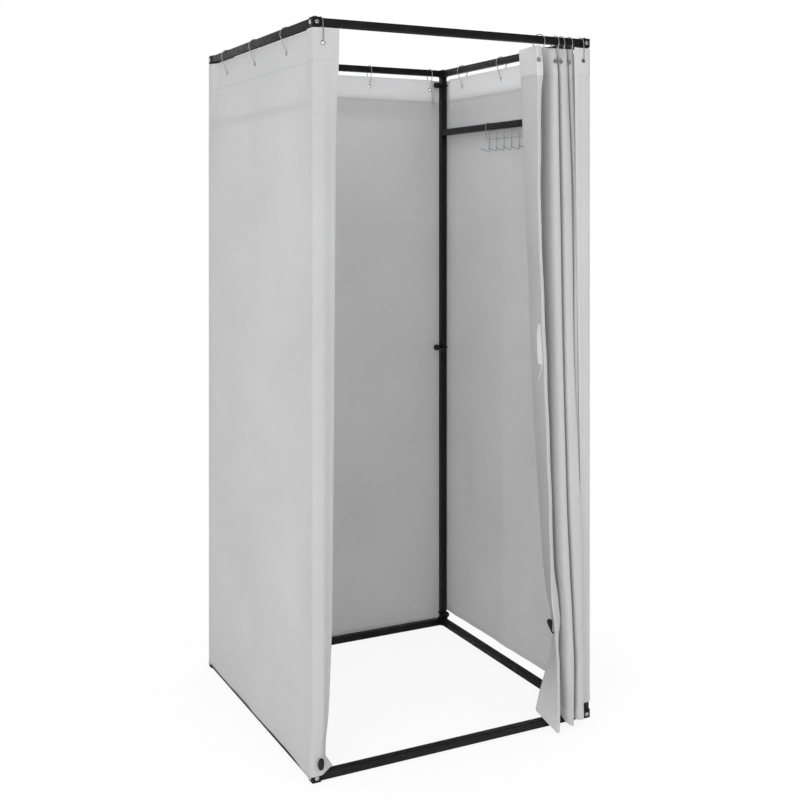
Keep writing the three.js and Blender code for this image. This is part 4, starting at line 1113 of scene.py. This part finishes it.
def stitches(name, cloth, body="frame"):
    """Spindles on both faces: four rings of four points, with radii 0, r, r, 0 along each."""
    starts, ways = seam_lines(cloth)
    shapes = []
    for face in (-1, 1):
        lift = face * (DOUBLE / 2 + STITCH_THICK / 3)
        a = on_cloth(cloth, *starts.T, lift)
        b = on_cloth(cloth, *(starts + ways * STITCH).T, lift)
        kept = np.linalg.norm(b - a, axis=1) > 0.4 * STITCH
        a, b = a[kept], b[kept]
        way = unit(b - a)
        u = unit(np.cross(way, [0.36, 0.48, 0.8]))
        circle = circles(u, np.cross(way, u), 4)
        points = np.stack([mix(a, b, share)[:, None] + radius * STITCH_THICK * circle
                           for share, radius in ((0, 0), (0.2, 1), (0.8, 1), (1, 0))], 1)
        quads = cells(4, 4, round_=True)[None] + 16 * np.arange(len(a))[:, None, None]
        shapes.append((points.reshape(-1, 3), quads.reshape(-1, 4)))
    print(name, len(starts), "stitches on each face")
    return new_piece(f"stitches_{name}", together(shapes), thread_finish, body)


for name, cloth in (("left", left), ("right", right), ("rear", rear)):
    stitches(name, cloth)
follow_carrier(stitches("front", front, None))

# %% Care label and loose thread
LABEL_LOW, LABEL_HIGH, LABEL_WIDE, LABEL_THICK = 1.047, 1.166, 0.026, 0.0004
LABEL_IN = 0.004  # from the strip's hem
LABEL_NEAR, LABEL_FAR = -0.0016, -0.0046  # off the cloth, on the room's side
THREAD_LONG, THREAD_THICK, THREAD_SIDE = 0.044, 0.0008, 0.022


def satin_ribbon():
    ribbon = Finish("satin_ribbon", Roughness=0.45, Specular_IOR_Level=0.4)
    ribs = ribbon.noise(ribbon.node("UVMap", "UV", uv_map="cloth"), 1.0, 2, (60, 2400, 1))
    ribbon.set(Base_Color=ribbon.blended(ribs, [0.68] * 3, [0.76] * 3))
    ribbon.bump(ribs, 0.00008)
    return ribbon.material


def care_label():
    """A ribbon sewn in beside the strip, on the room's face of the panel: it stands off the
    cloth, and a little more along its free edge, and narrows at the top."""
    s, t = np.meshgrid(np.linspace(0, 1, 14), np.linspace(0, 1, 40))
    wide = LABEL_WIDE * (1 - 0.35 * smooth((t - 0.72) / 0.28))
    along, up = STRIP_HEM + LABEL_IN + wide * s, mix(LABEL_LOW, LABEL_HIGH, t)
    near, far = (on_cloth(front, along, up, lift) for lift in (LABEL_NEAR, LABEL_FAR))
    middle = mix(near, far, (smooth(s) * (0.45 + 0.4 * np.sin(t * 5)))[..., None])
    shape, uv = cloth_skin(middle, np.full(s.shape, LABEL_THICK),
                           np.ones((s.shape[0] - 1, s.shape[1] - 1), bool),
                           np.stack([along, up], -1))
    new_piece("care_label", shape, satin_ribbon(), "curtain_carrier", uv=uv)


care_label()
t = np.linspace(0, 1, 16)
thread_line = on_cloth(front, STRIP_HEM + 0.006 + THREAD_SIDE * t + 0.002 * np.sin(9 * t),
                       LABEL_LOW - THREAD_LONG * t, -0.0022)
new_piece("thread_end", swept(thread_line, THREAD_THICK, (0, 0.6, 0.8), 6), bright_thread,
          "curtain_carrier")
print("label and thread done")

# %% [markdown]
# ## Ball ties
# A tie is a loop of elastic through a plastic ball. Round a post the elastic
# lies against the tube's rounded corners and its two strands meet in the ball's
# neck.

# %% Balls
BALL, ELASTIC = 0.011, 0.002  # radii
MEET = 0.0144  # from the post's middle to where the strands meet


def ball_shape(reach):
    """Ball at height `reach` over a flared neck: a profile that follows the sphere down to
    where the neck leaves it, then curves into the cord."""
    a = np.linspace(math.pi, 0.42, 16)
    ball = np.column_stack([BALL * np.sin(a), reach - BALL * np.cos(a)])
    ball[0, 0] = 0
    neck = [mix(np.array([0.0031, 0.001]), ball[-1], np.array([t ** 2, t]))
            for t in (0.75, 0.5, 0.25, 0.0)]
    return turned([*ball, *neck, (0.0026, 0), (0, 0)], sides=32)


def barrel_shape(wide, high):
    """Upright barrel round the z axis: (r cos |a|^0.7, h sin |a|^0.8), a superellipse that is
    flatter at its waist and ends than an ellipse."""
    a = np.linspace(math.pi / 2, -math.pi / 2, 25)
    c, s = np.cos(a), np.sin(a)
    profile = np.column_stack([wide / 2 * np.abs(c) ** 0.7,
                               high / 2 * np.sign(s) * np.abs(s) ** 0.8])
    profile[[0, -1], 0] = 0
    return turned(profile, sides=32)


def pear_shape(radius, long, tip=0.0022):
    """Sphere of that radius at the top, and the cone that touches it, down to the tip: its
    half angle b has sin b = (radius − tip) / way, and the sphere's angle there is 90° − b."""
    way = long - radius
    b = math.asin((radius - tip) / way)
    a = np.linspace(math.pi, math.pi / 2 - b, 20)
    profile = [(radius * math.sin(t), way - radius * math.cos(t)) for t in a]
    profile[0] = (0, long)
    profile += [(tip * math.cos(b), -tip * math.sin(b)), (tip * 0.5, -tip * 0.9), (0, -tip)]
    return turned(profile, sides=32)


# %% Ties
def tie(node, elastic, ball, heading, place, body="frame"):
    """The two pieces of a tie, turned to its heading."""
    new_piece(node + "_elastic", moved(elastic, heading, place), elastic_finish, body, [node])
    new_piece(node + "_ball", moved(ball, heading, place), ball_finish, body)


def post_tie(node, heading, place, ball):
    """Elastic round a post in the (x, y) plane, with the ball along the heading."""
    corner, bend = TUBE / 2 - TUBE_ROUND, TUBE_ROUND + GAP + ELASTIC
    away = math.hypot(corner, MEET - corner)
    slope = math.atan2(MEET - corner, corner) - math.asin(bend / away)
    leave, q = math.pi / 2 - slope, math.pi / 2
    flat = np.concatenate([
        arc((corner, corner), bend, leave, 0, 5), arc((corner, -corner), bend, 0, -q, 6),
        arc((-corner, -corner), bend, -q, -2 * q, 6),
        arc((-corner, corner), bend, 2 * q, 2 * q - leave, 5)])
    ends = mix(np.array([[0, MEET]]), flat[[0]], np.array([[0], [0.5]]))
    path = np.concatenate([ends, flat, (ends * [-1, 1])[::-1]])
    loop = swept(np.column_stack([path, np.zeros(len(path))]), ELASTIC, (0, 0, 1))
    tie(node, loop, ball, heading, place)


neck_foot = MEET - ELASTIC
ball = aimed(ball_shape(BALL + ELASTIC), (0, 1, 0), (0, neck_foot, 0))
for name, heading, height in (("top", 90, CLOTH_TOP - 0.017), ("middle", 90, POST_JOINT + 0.021),
                              ("bottom", 180, 0.043)):
    post_tie(f"tie_rear_right_{name}", heading, np.array([POST, POST, height]), ball)
barrel = aimed(barrel_shape(0.0155, 0.030), (-0.06, 0, 1), (-0.0060, OUT + 0.0100, 0.004))
stub = swept(np.array([[-0.002, 0.0115, 0], [-0.0050, OUT - 0.002, 0], [-0.0055, OUT + 0.002, 0],
                       [-0.006, OUT + 0.006, 0.001]]), 0.0018, (0, 0, 1))
post_tie("tie_front_left", 180, np.array([-POST, -POST, TIE_HEIGHT]), together([barrel, stub]))

# %% Tie of the front curtain
BEAD, PEAR, PEAR_LONG = 0.0055, 0.008, 0.035


def lead_tie():
    """Cord through the panel that turns up into its pear, and the bead behind the cloth."""
    bend, start, leave = 0.007, -0.0037, 0.0011
    path = np.concatenate([[[start, 0], [start / 2, 0], [leave, 0]],
                           arc((leave, bend), bend, -math.pi / 2, -0.1, 8)[1:]])
    cord = swept(in_plane(path), ELASTIC, (1, 0, 0))
    a = np.linspace(math.pi, 0, 15)
    bead = turned(BEAD * np.column_stack([np.sin(a), np.cos(a)]), sides=24)
    bead = aimed(bead, (0, 0, 1), (0, start, 0))
    pear = aimed(pear_shape(PEAR, PEAR_LONG), (0, 0.2, 1), (0, *path[-1]))
    heading = math.degrees(math.atan2(lead_tie_facing[1], lead_tie_facing[0])) - 90
    tie("tie_lead", together([cord, bead]), pear, heading, lead_tie_place, "curtain_carrier")


lead_tie()
print("ties done")

# %% [markdown]
# ## Floor and light
# The floor and the world are white to the camera, but only the floor's own grey
# is lit, so the object keeps a soft shadow. Away from the object the floor turns
# into the plain white of the background.

# %% Floor
def pale_floor():
    finish = Finish("pale_floor", Roughness=0.9, Specular_IOR_Level=0.0, Base_Color=[0.9] * 3)
    place = finish.node("TexCoord", "Object")
    distance = finish.node("VectorMath", "Value", {0: place}, operation="LENGTH")
    white = finish.maths("MULTIPLY", finish.between(distance, 0.88, 1.0, 0.7, 2.0),
                         finish.node("LightPath", "Is Camera Ray"))
    finish.mix_in(white, finish.node("Emission"))
    return finish.material


FLOOR_REACH, FLOOR_HEIGHT = 14, -0.0005
floor_mesh = bpy.data.meshes.new("floor")
floor_mesh.from_pydata([(x * FLOOR_REACH, y * FLOOR_REACH, FLOOR_HEIGHT)
                        for x, y in ((-1, -1), (1, -1), (1, 1), (-1, 1))], [], [(0, 1, 2, 3)])
floor_mesh.materials.append(pale_floor())
floor = bpy.data.objects.new("floor", floor_mesh)
bpy.context.scene.collection.objects.link(floor)

# %% World and lamps
def studio_world():
    """White to the camera, a softer grey where it lights cloth and floor. In reflections it is
    bright on the left and behind, and dim in front on the right, like a studio with a white
    wall on one side."""
    world = bpy.data.worlds.new("studio")
    tree = Tree(world)
    side = tree.node("VectorMath", "Value", {0: tree.node("TexCoord", "Generated"),
                                             1: (-0.958, 0.287, 0.0)}, operation="DOT_PRODUCT")
    unseen = tree.node("Mix", "Result", {"Factor": tree.node("LightPath", "Is Glossy Ray"),
                                         "A": 1.04, "B": tree.between(side, 0.16, 1.0, 0.0, 0.65)})
    level = tree.node("Mix", "Result", {"Factor": tree.node("LightPath", "Is Camera Ray"),
                                        "A": unseen, "B": 1.0})
    background = tree.nodes["Background"].inputs
    tree.put(background["Strength"], level)
    tree.put(background["Color"], (1, 1, 1))
    bpy.context.scene.world = world


def softbox(name, place, target, size, power):
    """A square lamp. It shows in no reflection: only the white room does."""
    lamp = bpy.data.lights.new(name, "AREA")
    lamp.shape, lamp.size, lamp.energy = "SQUARE", size, power
    thing = bpy.data.objects.new(name, lamp)
    thing.location = np.array(place) + MIDDLE
    way = np.array(target) - np.array(place)
    thing.rotation_euler = Vector(way).to_track_quat("-Z", "Y").to_euler()
    thing.visible_glossy = thing.visible_camera = False
    bpy.context.scene.collection.objects.link(thing)


studio_world()
softbox("key", (-3.0, -3.1, 1.5), (0.2, 0.1, 0.9), 2.2, 40)
softbox("fill", (-0.8, -4.0, 1.3), (0, 0, 0.9), 2.2, 18)
softbox("inner", (-0.25, -0.2, 3.1), (0.35, 0.1, 0.3), 0.9, 6)
bpy.context.scene.view_settings.view_transform = "Standard"
